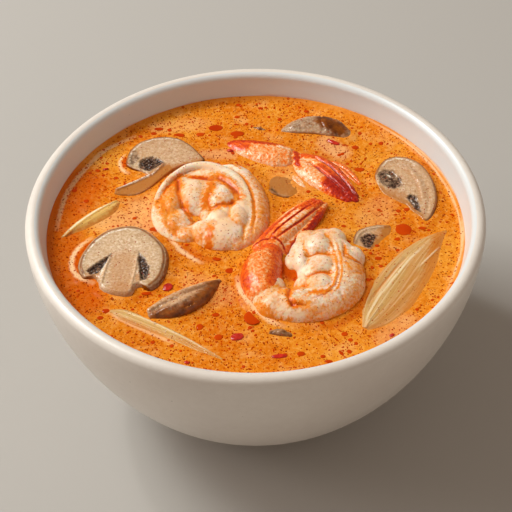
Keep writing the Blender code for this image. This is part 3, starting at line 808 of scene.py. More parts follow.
mushroomShapes = dict(
    mushroom_back_left=dict(
        rim=[(-50.4, 37), (-52.3, 39), (-52.5, 42.3), (-51.1, 47.5), (-47.5, 52.2), (-42, 54.7),
             (-36.5, 55.3), (-31.2, 53.9), (-26.6, 50), (-23.1, 45.2), (-21, 41.5)],
        rest=[(-24, 39.6), (-31.2, 37.5), (-36.4, 32.8), (-42, 26), (-47, 21.8), (-52, 21.2),
              (-56.8, 22.8), (-51.9, 27.2), (-46.7, 30.3), (-43.6, 32.4), (-45.6, 34.8), (-48.6, 36)],
        height=1.7, slope=(0, 0.03), thickness=4, flare=1.02,
        gills=[([(-47.6, 40.6), (-44.8, 43), (-41.9, 43.4), (-38.9, 41.9), (-37.2, 39.2), (-39.6, 37.4),
                 (-42.6, 34.6), (-44.6, 35.2), (-47.6, 37)], 1.0),
               ([(-51.8, 43.6), (-50.6, 47), (-48.6, 48.4), (-47, 42), (-49.6, 37.6), (-51.4, 39)],
                0.5)],
        films=[([(-23, 39), (-31, 36)], 3.0, 0.75), ([(-46, 50), (-36, 50), (-28, 45)], 8, 0.28),
               ([(-56, 22), (-48, 25), (-41, 29.6), (-36, 35)], 4.0, 0.95)],
        gleams=[([(-51.6, 41), (-50.6, 46.6), (-47, 51.2), (-42, 53.8), (-36, 54.4), (-31, 53)],
                 0.3, 0.7),
                ([(-56, 24), (-47, 29), (-41.8, 32.4), (-38, 37.6)], 0.35, 0.9)],
        edges=[([(-56, 23.8), (-47, 29.2), (-41.6, 32.8), (-37.4, 38.4)], 0.5, -0.7)]),
    mushroom_left=dict(
        rim=[(-66.5, -24.3), (-67.8, -19.7), (-66.5, -13.2), (-63, -6.3), (-58, -1.6), (-50.9, 0.3),
             (-44.9, -1.5), (-39.8, -6.8), (-36.4, -13), (-35.9, -20.4), (-37.6, -27.7), (-41, -32)],
        rest=[(-43.4, -31.6), (-45, -30.2), (-46.8, -31), (-48.6, -34.6), (-53.9, -34.2),
              (-58.9, -31.4), (-60, -27.6), (-62, -25.6), (-65, -26)],
        height=2.5, slope=(0.04, 0.01), thickness=5, flare=1.06,
        gills=[([(-56.1, -14.2), (-59.9, -17.4), (-63.2, -20.2), (-65.4, -23.2), (-63.6, -25.4),
                 (-60.6, -24.4), (-58.6, -20.8), (-57, -17)], 1.0),
               ([(-45.6, -13.8), (-43, -17.8), (-41, -22.6), (-41.2, -26.4), (-42.5, -29.4),
                 (-44.4, -29.6), (-45, -24), (-45.8, -18.4)], 1.0)],
        films=[([(-65, -26), (-60.6, -25.6)], 1.3, 0.55), ([(-45, -30.4), (-46, -26)], 0.9, 0.5),
               ([(-51.6, -18), (-52, -34)], 4.6, 0.4), ([(-52, -33), (-52, -36)], 4.6, 0.6)],
        gleams=[([(-67, -21), (-66.4, -14), (-62.8, -7.2), (-57.6, -2.6), (-51, -0.7), (-46, -2)],
                 0.35, 0.9), ([(-57.2, -16.4), (-59, -22), (-60.6, -28)], 0.35, 0.7)],
        edges=[([(-56.6, -16), (-58, -22), (-59.4, -30)], 0.45, -0.5),
               ([(-46.2, -17), (-46.6, -24), (-48, -33)], 0.45, -0.4)]),
    mushroom_right=dict(
        rim=[(49.4, 30.9), (51.4, 35.5), (54.1, 38.7), (58, 39.9), (62.7, 38.7), (67.2, 35.3),
             (70.5, 29.4), (72.3, 22.7), (72.7, 15.7), (71.5, 9.8), (69.1, 4.5), (67, 3.1)],
        rest=[(65.3, 6), (62.6, 9), (60.6, 12.6), (57.8, 14.4), (55, 17), (51.6, 20), (49.8, 25.6)],
        height=1.6, slope=(0.08, 0.07), thickness=4.5, flare=1.03,
        gills=[([(49.9, 31.4), (50.6, 25.8), (54, 22.2), (56.7, 21.6), (60.2, 23.5), (59.2, 28.1),
                 (56.1, 32.3), (52.7, 33.4)], 0.68),
               ([(60.7, 16.5), (62.2, 13.6), (63.8, 9.8), (65.8, 8), (66, 11), (64.8, 16.9),
                 (62.5, 18.4)], 1.0)],
        films=[([(50, 23), (52.4, 19.4), (57, 16), (60, 13.4), (63, 8.4), (66, 4)], 2.0, 0.85),
               ([(54.6, 19.4), (59, 17)], 3.0, 0.6),
               ([(58, 36), (66, 30), (69, 20), (68, 8)], 8, 0.28),
               ([(57.4, 33.6), (62.4, 31), (65.4, 25.4), (66, 17.6), (66, 11)], 0.8, 0.5)],
        gleams=[([(52, 34.6), (54.6, 37.8), (58, 38.8), (62.4, 37.6), (66.6, 34.2)], 0.35, 0.8),
                ([(53.4, 30.8), (55.6, 28.6)], 0.3, 0.8), ([(62.4, 15.6), (64, 12.4)], 0.3, 0.8)],
        edges=[([(57.7, 36.9), (63.7, 34.7), (68, 27.9), (69.7, 20.8), (69.8, 13.8), (68.3, 7)],
                0.9, 0.3),
               ([(59.4, 35), (64, 31), (66.8, 24), (67.4, 16)], 0.8, -0.35)]),
    mushroom_middle=dict(
        rim=[(38.2, -8.8), (39.6, -3), (42.4, -0.6), (46.2, 1), (50.2, 1.6), (53.3, 0.8)],
        rest=[(53.4, -3), (50, -7.4), (46.6, -11.6), (43, -12)],
        height=0.45, slope=(-0.06, 0.06), thickness=3, flare=1.0,
        gills=[([(40.9, -6.1), (43.7, -3.3), (47.9, -4.4), (46.3, -8.1), (44.6, -11.4),
                 (42.3, -10.9)], 1.0)],
        films=[([(52, -1.4), (50.6, -6), (47, -11)], 2.6, 0.95), ([(49, -2.6), (47.4, -4)], 1.6, 0.4)],
        edges=[([(38.8, -8.8), (40.6, -4.2), (43.6, -1.4), (48.4, -0.2), (52.6, 0.6)], 0.5, -0.45)]),
    mushroom_centre=dict(
        rim=[(5.6, 26.6), (5.4, 22.4), (8, 20.4), (12.6, 18.6), (18, 20.6)],
        rest=[(20, 25), (17, 30), (11, 32), (7, 30.6)],
        height=0.2, slope=(-0.035, -0.01), thickness=3, flare=1.0,
        gills=[([(5.8, 23), (8.2, 21), (9.6, 19.8), (8.6, 23), (7, 25.6)], 0.7)],
        films=[([(9, 28), (18, 26)], 8, 0.9), ([(16, 21), (20, 26)], 3, 1.0)],
        edges=[([(5, 23.4), (8, 20.8), (13, 19)], 0.5, -0.35)]),
)


def between(a, b, c, d, t):
    # a place on the smooth line that runs from b to c, with a before it and d after it
    return 0.5 * (2 * b + (c - a) * t + (2 * a - 5 * b + 4 * c - d) * t * t
                  + (3 * b - a - 3 * c + d) * t ** 3)


def smoothLine(points, closed, steps=5):
    # a smooth line through the points
    count = len(points)
    line = []
    for k in range(count if closed else count - 1):
        around = [points[(k + i) % count] if closed else points[min(max(k + i, 0), count - 1)]
                  for i in (-1, 0, 1, 2)]
        corners = [np.array(p, float) for p in around]
        line += [tuple(between(*corners, i / steps)) for i in range(steps)]
    return line if closed else line + [tuple(points[-1])]


gillFolds = dict(depth=1.3, soft=1.6, spacing=1.1, foldedFrom=0.75, bladeRise=0.45, bladeTone=0.25)


def foldGills(piece, shapes, depth):
    # gills: a dark hollow crossed by thin uneven blades; gives back how dark each place is
    s = gillFolds
    places, normals = readMesh(piece)
    x, y = places[:, 0], places[:, 1]
    gill = region(places, shapes, s["soft"]) * np.clip(normals[:, 2] * 2, 0, 1)
    deep = np.clip((gill - 0.5) / 0.5, 0, 1)
    blade = np.zeros(len(places))
    for outline, strength in shapes:
        if strength > s["foldedFrom"]:
            gap, along = nearLine(places, outline[:len(outline) // 2 + 1])
            bent = along + 0.9 * np.sin(x * 0.9 + 2) * np.cos(y * 0.8 + gap)
            here = region(places, [(outline, 1)], s["soft"]) > 0
            blade[here] = (0.5 + 0.5 * np.cos(bent * math.tau / s["spacing"]))[here]
    uneven = 0.25 * np.sin(x * 2.9) * np.sin(y * 3.3 + 1)
    places[:, 2] -= deep * depth * (1 - s["bladeRise"] * blade + uneven)
    writeMesh(piece, places)
    return np.clip(gill - blade * s["bladeTone"] * deep, 0, 1)


sliceSides = dict(
    cell=0.32, passes=2, drops=(0.15, 0.35, 0.5), flareTo=0.5, gillShare=0.5, roughness=(1.0, 0.2),
    skinReach=4.0, skinFade=1.5, skinFrom=0.8, rimSkin=0.75, rimWide=0.65, rimFade=0.4,
    rimTone=0.7, rimReach=1.6)  # the skin shows on the sides and on a thin rim of the cut face


def makeSlice(node, v, material):
    # the outline is filled, drawn down to its thickness with flaring sides, and given one soft skin
    s = sliceSides
    outline = smoothLine(v["rim"] + v["rest"], True)
    middle = np.mean(outline, axis=0)
    clearSelection()
    bpy.ops.mesh.primitive_circle_add(vertices=len(outline), radius=mm, fill_type="NGON")
    piece = bpy.context.object
    for vertex, (x, y) in zip(piece.data.vertices, outline):
        tilt = v["slope"][0] * (x - middle[0]) + v["slope"][1] * (y - middle[1])
        vertex.co = spot(x, y, v["height"] + tilt)
    startEdit()
    for share in s["drops"]:
        drop = {"value": (0, 0, -v["thickness"] * share * mm)}
        bpy.ops.mesh.extrude_region_move(TRANSFORM_OT_translate=drop)
        grow = v["flare"] if share < s["flareTo"] else 1
        bpy.ops.transform.resize(value=(grow, grow, 1), center_override=spot(*middle))
    endEdit()
    piece = fuse(node.replace("mushroom_", "mushroomSlice_"), [piece], s["cell"], s["passes"])
    gill = foldGills(piece, v["gills"], min(gillFolds["depth"], v["height"] * s["gillShare"]))
    pressLines(piece, v["edges"])
    roughen(piece, *s["roughness"])
    places, normals = readMesh(piece)
    rim, _ = nearLine(places, smoothLine(v["rim"], False))
    side = (np.clip((s["skinFrom"] - normals[:, 2]) / s["rimFade"], 0, 1)
            * np.clip((s["skinReach"] - rim) / s["skinFade"], 0, 1))
    edge = s["rimSkin"] * np.clip((s["rimWide"] - rim) / s["rimFade"], 0, 1)
    paint(piece, gill=gill, skin=np.maximum(side, edge),
          rim=s["rimTone"] * np.exp(-rim / s["rimReach"]), film=strokes(places, v["films"]),
          gleam=strokes(places, v.get("gleams", [])))
    return finishPiece(piece, material, "cooked_mushroom", node)


wedgeSkin = dict(cell=0.3, passes=4, roughness=(1.2, 0.22))
mushroomWedges = dict(
    mushroom_front=dict(
        flat=0.82,
        tubes=[
            [(-38.8, -45.8, -0.4, 2.6), (-33.5, -44, 0.2, 4.2), (-27.5, -41.2, 0.4, 4.9),
             (-21.6, -37, 0.3, 4.2), (-17, -32, 0, 2.4), (-14, -28.6, -0.3, 1.0)],
            [(-40.4, -44, 0.8, 1.3), (-34, -39.8, 1.6, 1.9), (-27, -36.2, 1.9, 2.2),
             (-20, -32, 1.4, 1.8), (-14.4, -28.6, 0.6, 0.9)],
        ],
        gills=[([(-40.4, -44.4), (-36, -41.2), (-31, -39), (-25, -36.8), (-27.6, -38.8),
                 (-32.6, -41.6), (-38, -45.2)], 0.5),
               ([(-27.8, -45.4), (-25, -44.4), (-22.4, -42), (-24.6, -41.8), (-27.6, -43.6)], 0.8)],
        skins=[([(-38, -49), (-30, -48.6), (-23.4, -45), (-18, -38.6), (-15, -32)], 4.4, 0.95),
               ([(-30, -38), (-20, -33), (-15, -29.4)], 0.9, 0.4)],
        films=[([(-40, -49), (-34, -50)], 2.0, 0.4), ([(-38, -42), (-28, -38), (-18, -33)], 4, 0.42)],
        edges=[([(-38.6, -44.4), (-32.4, -41.6), (-26.6, -38.2), (-20.6, -34)], 0.9, 0.4),
               ([(-38, -46.6), (-31, -44.2), (-25.6, -41)], 0.6, -0.3)]),
    mushroom_back=dict(
        flat=0.55,
        tubes=[
            [(12.4, 60.6, -0.2, 1.6), (17, 61.8, 0.3, 3.6), (22.6, 62.8, 0.7, 4.8),
             (28.4, 62.4, 0.8, 5.4), (33.6, 60.6, 0.4, 5.2), (37.4, 58, -0.3, 3.6)],
        ],
        gills=[([(12, 61), (18, 65), (25, 67), (27, 63), (24, 58.6), (16, 59)], 0.36)],
        skins=[([(29.6, 63), (35.6, 59)], 4.6, 1.0), ([(14, 61), (26, 62)], 5.0, 0.36)],
        films=[([(33, 54), (38, 54), (40, 58.6)], 1.2, 0.3)],
        edges=[([(28.6, 67), (28, 62), (29.4, 58)], 0.5, 0.4),
               ([(12, 59.6), (18, 58.6), (24, 58), (30, 56)], 0.5, -0.5)]),
)


def makeWedge(node, v, material):
    # a piece that shows its curved brown skin
    parts = [tube(knots, v["flat"]) for knots in v["tubes"]]
    name = node.replace("mushroom_", "mushroomWedge_")
    piece = fuse(name, parts, wedgeSkin["cell"], wedgeSkin["passes"])
    pressLines(piece, v["edges"])
    gill = foldGills(piece, v["gills"], gillFolds["depth"])
    roughen(piece, *wedgeSkin["roughness"])
    places, _ = readMesh(piece)
    paint(piece, gill=gill, skin=strokes(places, v["skins"]), film=strokes(places, v["films"]))
    return finishPiece(piece, material, "cooked_mushroom", node)


crumbSkin = dict(
    flat=0.9, cell=0.22, passes=2, roughness=(0.9, 0.5), skin=0.5, film=0.15, rim=0.3)
crumbs = dict(
    mushroom_crumb_front=[(5.4, -55.6, -0.2, 1.1), (8.5, -55.8, 0, 1.7), (12.2, -57, -0.3, 1.0)],
    mushroom_crumb_back=[(0.2, 62.8, -0.7, 0.9), (2.4, 62.2, -0.6, 1.3), (5.2, 60.8, -0.7, 0.8)])


def makeCrumb(node, knots, material):
    s = crumbSkin
    name = node.replace("mushroom_crumb", "mushroomCrumb")
    piece = fuse(name, [tube(knots, s["flat"])], s["cell"], s["passes"])
    roughen(piece, *s["roughness"])
    x, y, _ = readMesh(piece)[0].T
    paint(piece, gill=0.4 + 0.3 * np.sin(x * 1.3 + 1) * np.cos(y * 1.9), skin=s["skin"],
          film=s["film"], rim=s["rim"])
    return finishPiece(piece, material, "cooked_mushroom", node)


def lemongrassMaterial():
    # simmered lemongrass sheath: pale straw, see-through at its edges, with fine long fibres
    material, tree, where = newMaterial("simmered lemongrass", {
        "Roughness": 0.3, "IOR": 1.42, "Specular IOR Level": 0.15, "Subsurface Weight": 0.25,
        "Subsurface Scale": 1.0 * mm, "Subsurface Radius": (1.0, 0.6, 0.2), "Coat Weight": 0.5,
        "Coat Roughness": 0.12})
    strip = addNode(tree, "UVMap")
    long = addNode(tree, "Mapping", {0: strip, "Scale": (22.0, 1.4, 1.0)})
    fibre = addNode(tree, "TexNoise", {
        "Vector": long, "Scale": 1.0, "Detail": 3, "Roughness": 0.6})
    tone = addNode(tree, "ValToRGB", {0: fibre}, stops={
        0.3: "BC8438", 0.5: "D0A66C", 0.7: "EED4AA"})
    patches = addNode(tree, "TexNoise", {"Vector": where, "Scale": lumps(7)})
    # painted highlights: the gleam mask lays pale streaks along the lit edges and ridges
    tone = layTones(tree, tone, [
        (patches, 0.35, "CC9440"), ("young", 1.0, "EEBC62"), ("stain", 1.0, "CC7412"),
        ("gleam", 1.0, "FBE8C0"), (wetBand(tree, where, 0.7, -0.1, 0.7), 1.0, "DE9244"),
        (dots(tree, where, 1.5, 0.1, 0.28, 0.65), 0.75, "A04812")])
    return dress(material, tone, fibre, 0.2, 0.8)


stripCells = dict(across=44, along=110, step=0.01)  # the step is a share of a strip's length
lemongrassStrips = dict(
    lemongrass_left=dict(
        young=0.7,
        stations=[(-76.4, -2.6, 0.4), (-71.8, 1.6, 2.2), (-67, 5.8, 3.3), (-61.6, 10.4, 3.7),
                  (-57, 14.6, 2.9), (-54.6, 17.6, 0.9)],
        height=0.0, arch=1.2, lean=-0.4, thick=1.2, ribs=2, ribDepth=0.1,
        stains=[([(-75, -4.4), (-66, 1.4), (-58.4, 7), (-53, 14.6)], 2.7, 0.95)],
        gleams=[([(-76.2, -2), (-70.4, 5.6), (-63.6, 12.4), (-57, 17)], 0.5, 1.0)],
        creases=[([(-75, -1.6), (-67.6, 7), (-60, 14.4), (-56, 18)], 0.5, -0.5)]),
    lemongrass_front=dict(
        young=0.3,
        stations=[(-55.6, -43.4, 0.8), (-51, -45.2, 2.8), (-45, -48.6, 3.1), (-37, -53.2, 2.7),
                  (-27, -59.6, 2.1), (-19, -65.2, 1.4), (-13.2, -68.8, 0.4)],
        height=0.1, arch=0.7, lean=-0.3, thick=1.1, ribs=3, ribDepth=0.1,
        stains=[([(-54, -46), (-44, -51.6), (-34, -57.6)], 1.0, 0.8),
                ([(-30, -57), (-20, -64), (-14, -68)], 1.6, 0.5)],
        gleams=[([(-50, -43.6), (-40, -49), (-28, -57), (-16, -66)], 0.4, 0.6)], creases=[]),
    lemongrass_right=dict(
        young=0.0,
        stations=[(40.4, -54.4, 1.6), (45, -48.8, 6.6), (50, -41.4, 9.6), (54.8, -33.4, 10.2),
                  (59.6, -25, 9.6), (64.4, -16.6, 7.6), (69.6, -8.8, 4.4), (75.4, -2.6, 0.8)],
        height=0.0, arch=0.9, lean=-0.25, thick=1.2, ribs=5, ribDepth=0.03,
        stains=[([(43.2, -39.1), (46.7, -33.9), (50.2, -28.6), (53.8, -23.2), (56.6, -19.6)],
                 0.5, 0.85),
                ([(58, -49), (64, -38), (68.6, -27), (71, -17), (75, -4)], 5.0, 0.9),
                ([(48, -52), (56, -40), (62, -28)], 4.0, 0.45),
                ([(42, -57), (54, -53)], 3.4, 0.7), ([(60, -24), (66, -12), (72, -6)], 2.4, 0.3)],
        gleams=[([(40.2, -54), (41.6, -48), (46, -39), (52, -29.6), (60, -18), (68, -8)], 0.45, 0.6),
                ([(44.4, -39.6), (48.2, -32.6), (53, -25.2), (58, -18)], 0.4, 0.4),
                ([(62.8, -22.8), (65.7, -19.2), (68.6, -15.5), (71.5, -11.9)], 0.3, 0.6),
                ([(50, -45), (56, -36.6), (62, -28)], 0.3, 0.25)],
        creases=[([(42.6, -41.6), (46.7, -33.9), (50.2, -28.6), (53.8, -23.2), (58, -17.6)], 0.6, 0.45),
                 ([(62.8, -22.8), (65.7, -19.2), (68.6, -15.5), (71.5, -11.9)], 0.4, -0.2),
                 ([(40.6, -54), (42.6, -49.6), (47, -42.6)], 0.5, -0.3),
                 ([(48.8, -47.8), (54.6, -40.6), (60.6, -32.2), (67.5, -22.6)], 0.4, -0.1)]),
)


def alongLine(stations, share):
    # smooth position and half width at a share of the strip's length
    last = len(stations) - 1
    at = min(share, 0.9999) * last
    k = int(at)
    corners = [np.array(stations[min(max(i, 0), last)], float) for i in range(k - 1, k + 3)]
    return between(*corners, at - k)


def makeStrip(node, v, material):
    # a flat grid is bent along the strip, arched across and ribbed, then given its thickness
    cells = stripCells
    clearSelection()
    bpy.ops.mesh.primitive_grid_add(
        x_subdivisions=cells["across"], y_subdivisions=cells["along"], size=2)
    piece = bpy.context.object
    piece.name = node.replace("lemongrass_", "lemongrassStrip_")
    for vertex in piece.data.vertices:
        across, share = vertex.co.x, (vertex.co.y + 1) / 2
        x, y, half = alongLine(v["stations"], share)
        before = alongLine(v["stations"], max(share - cells["step"], 0))
        after = alongLine(v["stations"], min(share + cells["step"], 0.999))
        side = Vector((after[1] - before[1], before[0] - after[0], 0)).normalized()
        arch = v["arch"] * (1 - across * across) * min(1, half / 4) + v["lean"] * across
        rib = v["ribDepth"] * math.cos(across * math.pi * v["ribs"]) * min(1, half / 3)
        vertex.co = spot(x, y, v["height"] + arch + rib) + side * (across * half * mm)
    pressLines(piece, v["creases"])
    wall = piece.modifiers.new("wall", "SOLIDIFY")
    wall.thickness = v["thick"] * mm
    wall.offset = -1
    applyAll(piece)
    startEdit()
    endEdit()
    places, _ = readMesh(piece)
    paint(piece, stain=strokes(places, v["stains"]), gleam=strokes(places, v["gleams"]),
          young=v["young"])
    return finishPiece(piece, material, "lemongrass", node)


soupSizes = dict(
    cells=300, wallRise=0.9, wallReach=0.9, shelf=0.5, shelfFrom=1.2, shelfTo=3.2,
    ripple=0.08, most=1.9, inset=0.8, under=1.6, underReach=1.5, overlap=0.5, sideOverlap=0.3,
    sideDrops=(4, 9, 14, 18, 16), paleFrom=79.5, paleTo=82.2,
    menisci=dict(  # how high the soup climbs, where the climb is full, and where it starts
        shrimps=(0.8, 0.6, 4.6), slices=(0.6, 0.5, 4.0), low=(0.35, 0.3, 2.6), thin=(0.1, 0.2, 1.5)),
    # painted reflections: pale streaks on the soup's slopes by the garnish and the wall, where the
    # window would mirror
    paintedReflections=[
        ([(-64.8, -3.3), (-68.5, -7.2), (-71, -12), (-71.7, -17.6), (-70.3, -22.3), (-67.3, -25.9),
          (-62.8, -28.3)], 0.9, 1.0),
        ([(-33.7, -4.7), (-29.7, -10.5), (-24.9, -15.1), (-21, -17.9)], 0.9, 0.9),
        ([(-7.5, -26.5), (-6, -34.6), (-1.5, -42.7), (4.1, -49.6), (10, -52.8)], 0.9, 0.9),
        ([(-53.6, 46.4), (-55.4, 43.2), (-55.4, 40.4), (-54.2, 37), (-51.4, 34.6)], 0.55, 1.0),
        ([(-56.6, -43.4), (-50, -48.6), (-40, -54.8), (-30, -61)], 0.6, 0.6),
        ([(-78.8, 2), (-78.2, 11), (-75.8, 24.5), (-68.7, 39.6), (-61.3, 50.3), (-50, 58.6)],
         0.8, 0.75),
        ([(48.4, 65.8), (62.4, 52), (73.6, 33.6), (80.2, 11), (80.2, -13), (71, -39.6)], 0.4, 0.8),
        ([(60, 56.6), (72.6, 38.4), (80.4, 18), (82.2, 0), (79.6, -20)], 0.25, 0.7)],
    creamClouds=[
        ([(-56, 6), (-46, 4), (-44, 12)], 8, 0.3), ([(-40, 64), (-24, 66)], 4, 0.15),
        ([(12, 33), (18, 26)], 6, 0.1), ([(46, 6), (50, 12)], 6, 0.15),
        ([(-22, -30), (-14, -36)], 6, 0.15),
        ([(30, 52), (36, 46)], 4, 0.35), ([(56, -52), (48, -60)], 5, 0.2),
        ([(-20, 46), (-10, 46)], 3, 0.3)],
    # oil gathered along the garnish's edges, and last a broad painted shadow of the bowl's wall on the
    # soup at the left
    oilRimsAndWallShadow=[
        ([(-63.6, -4), (-66.4, -7.7), (-69, -13.3), (-70, -17.9), (-68.6, -22.6)], 0.6, 1.0),
        ([(-30, -5.6), (-26, -11), (-20.6, -15.6), (-14, -17.4)], 1.5, 0.55),
        ([(-5.4, -28), (-3.4, -38), (2.4, -45.6), (8.6, -51.4)], 1.0, 0.7),
        ([(-52, 45), (-53.8, 41.4), (-53, 37.6)], 1.1, 1.0), ([(10.6, -22), (14, -26)], 3.4, 1.0),
        ([(20, -54), (30, -53), (38, -46), (43.4, -34), (44, -22)], 1.4, 0.5),
        ([(-47, -37.6), (-39.6, -34), (-35.4, -26)], 1.2, 0.45),
        ([(-42, 14), (-39, 4), (-34, -5)], 1.4, 0.5),
        # painted shadow: the left wall's shade on the soup
        ([(-70, 30), (-77, 8), (-76, -14), (-66, -38)], 9, 0.62)])


def brothMaterial():
    # creamy broth: coconut milk and chilli oil, clouded, dotted with oil and ground chilli
    material, tree, where = newMaterial("creamy tom yum broth", {
        "Roughness": 0.2, "IOR": 1.36, "Specular IOR Level": 0.06})
    flat = addNode(tree, "VectorMath", {0: where, 1: (1, 1, 0)}, operation="MULTIPLY")
    clouds = addNode(tree, "TexNoise", {
        "Vector": flat, "Scale": lumps(13), "Detail": 3, "Roughness": 0.55})
    tone = addNode(tree, "ValToRGB", {0: clouds}, stops={
        0.34: "D9700E", 0.5: "E38218", 0.66: "EA962C"})
    curd = addNode(tree, "TexNoise", {
        "Vector": flat, "Scale": lumps(0.9), "Detail": 5, "Roughness": 0.75})
    pale = addNode(tree, "MapRange", {0: curd, 1: 0.5, 2: 0.68, 4: 0.65})
    oily = addNode(tree, "MapRange", {0: curd, 1: 0.48, 2: 0.32, 4: 0.65})
    swirl = addNode(tree, "TexNoise", {
        "Vector": flat, "Scale": lumps(5), "Detail": 4, "Roughness": 0.6})
    swirl = addNode(tree, "MapRange", {0: swirl, 1: 0.54, 2: 0.7, 4: 0.55})
    reach = addNode(tree, "VectorMath", {0: flat}, "Value", operation="LENGTH")
    edge = addNode(tree, "MapRange", {
        0: reach, 1: soupSizes["paleFrom"] * mm, 2: soupSizes["paleTo"] * mm, 4: 0.75})
    # the cream mask holds cream clouds and painted reflection streaks; the oil mask holds oil by the
    # garnish and a painted shadow of the left wall
    tone = layTones(tree, tone, [
        (pale, 1.0, "F6B45C"), (oily, 1.0, "C85806"), (swirl, 1.0, "F6B468"),
        (edge, 1.0, "E48A34"), ("oil", 1.0, "D05208"), ("cream", 1.0, "F8C896"),
        (dots(tree, flat, 3.0, 0.3, 0.75, 0.4), 0.85, "C4470A"),
        (dots(tree, flat, 1.1, 0.1, 0.24, 0.85), 0.8, "842A00"),
        (dots(tree, flat, 1.9, 0.16, 0.36, 0.5), 0.9, "842A00")])
    swell = addNode(tree, "TexNoise", {"Vector": flat, "Scale": lumps(1.6)})
    return dress(material, tone, swell, 0.10, 0.5)


def gapsTo(piece, places, reach):
    # how far each place on the soup is from a piece, and whether the piece lies over it
    tree = BVHTree.FromObject(piece, bpy.context.evaluated_depsgraph_get())
    gap, over = np.full(len(places), 99.0), np.zeros(len(places), bool)
    edges = readMesh(piece)[0][:, :2]
    near = (places[:, :2] > edges.min(0) - reach) & (places[:, :2] < edges.max(0) + reach)
    for i in np.nonzero(near.all(1))[0]:
        x, y = places[i, :2]
        found = tree.find_nearest(spot(x, y), reach * mm)
        if found[0] is not None:
            gap[i] = found[3] / mm
        above = firstBelow(tree, x, y)
        over[i] = above is not None and above.z > soupLevel
    gap[over] = 0
    return gap, over


def makeSoup(groups):
    s = soupSizes
    clearSelection()
    bpy.ops.mesh.primitive_grid_add(x_subdivisions=s["cells"], y_subdivisions=s["cells"], size=2)
    soup = bpy.context.object
    soup.name = "creamyBroth"
    radius = innerRadius(soupLevel / mm) + s["overlap"]
    count = len(soup.data.vertices)
    flat = np.empty(count * 3)
    soup.data.vertices.foreach_get("co", flat)
    x, y = flat.reshape(-1, 3)[:, 0], flat.reshape(-1, 3)[:, 1]
    # the square grid is drawn in to a round one
    places = np.stack([x * np.sqrt(1 - y * y / 2), y * np.sqrt(1 - x * x / 2), x * 0], 1) * radius
    rise = np.zeros(count)
    covered = np.zeros(count, bool)
    for kind, pieces in groups.items():
        climb, full, start = s["menisci"][kind]
        for piece in pieces:
            gap, over = gapsTo(piece, places, start)
            share = ease((start - gap) / (start - full)) * climb
            rise += share - rise * share / s["most"]
            covered |= over
    # under the garnish it drops away, so that hollows in the garnish stay clear
    bare = KDTree(int((~covered).sum()))
    for i in np.nonzero(~covered)[0]:
        bare.insert(places[i], int(i))
    bare.balance()
    for i in np.nonzero(covered)[0]:
        inset = bare.find(places[i])[2] - s["inset"]
        rise[i] -= s["under"] * float(ease(inset / s["underReach"]))
    fromWall = radius - s["overlap"] - np.hypot(places[:, 0], places[:, 1])
    fromWall = np.clip(fromWall, 0, None)
    edge = s["wallRise"] * np.exp(-fromWall / s["wallReach"])
    edge += s["shelf"] * ease((s["shelfTo"] - fromWall) / (s["shelfTo"] - s["shelfFrom"]))
    rise = np.maximum(rise, edge)
    ripple = [math.sin(a * 0.21 + 1.3 * math.sin(b * 0.13)) * math.cos(b * 0.17 + math.sin(a * 0.09))
              for a, b in places[:, :2]]
    places[:, 2] = rise + s["ripple"] * np.array(ripple)
    writeMesh(soup, places)
    # painted reflection streaks and cream clouds share the cream mask
    cream = [(smoothLine(line, False), reach, strength)
             for line, reach, strength in s["paintedReflections"]]
    paint(soup, cream=np.maximum(strokes(places, cream), strokes(places, s["creamClouds"])),
          # the oil mask also holds the painted wall shadow
          oil=strokes(places, s["oilRimsAndWallShadow"]))
    # the side follows the bowl's inside down to its floor
    startEdit()
    bpy.ops.mesh.region_to_loop()
    height = soupLevel / mm
    reach = radius
    for drop in s["sideDrops"]:
        height -= drop
        wider = innerRadius(height) + s["sideOverlap"]
        bpy.ops.mesh.extrude_region_move(TRANSFORM_OT_translate={"value": (0, 0, -drop * mm)})
        bpy.ops.transform.resize(value=(wider / reach, wider / reach, 1), center_override=(0, 0, 0))
        reach = wider
    bpy.ops.mesh.edge_face_add()
    endEdit()
    return finishPiece(soup, brothMaterial(), "creamy_broth", "soup")


def oilMaterial():
    # chilli oil: a clear red film that holds its colour where it beads up
    material, tree, where = newMaterial("chilli oil", {
        "Roughness": 0.1, "IOR": 1.47, "Specular IOR Level": 0.08})
    pools = addNode(tree, "TexNoise", {"Vector": where, "Scale": lumps(5)})
    return dress(material, addNode(tree, "ValToRGB", {0: pools}, stops={
        0.3: "B83202", 0.7: "D04804"}))


def chilliMaterial():
    # ground chilli and herbs: dark red to brown, damp
    material, tree, where = newMaterial("ground chilli", {
        "Roughness": 0.7, "IOR": 1.45, "Specular IOR Level": 0.0})
    flakes = addNode(tree, "TexNoise", {"Vector": where, "Scale": lumps(2.2), "Detail": 1})
    return dress(material, addNode(tree, "ValToRGB", {0: flakes}, stops={
        0.35: "8E2000", 0.5: "C23000", 0.65: "A04200"}))


def chilliSkinMaterial():
    # bits of fresh red chilli: thin wet skin, bright red
    material, tree, where = newMaterial("fresh chilli skin", {
        "Roughness": 0.22, "IOR": 1.45, "Coat Weight": 0.3, "Coat Roughness": 0.1})
    streaks = addNode(tree, "TexNoise", {"Vector": where, "Scale": lumps(1.2), "Detail": 3})
    tone = addNode(tree, "ValToRGB", {0: streaks}, stops={0.3: "A01006", 0.7: "DC2C10"})
    wrinkles = addNode(tree, "TexNoise", {"Vector": where, "Scale": lumps(0.8), "Detail": 3})
    return dress(material, tone, wrinkles, 0.3, 0.8)


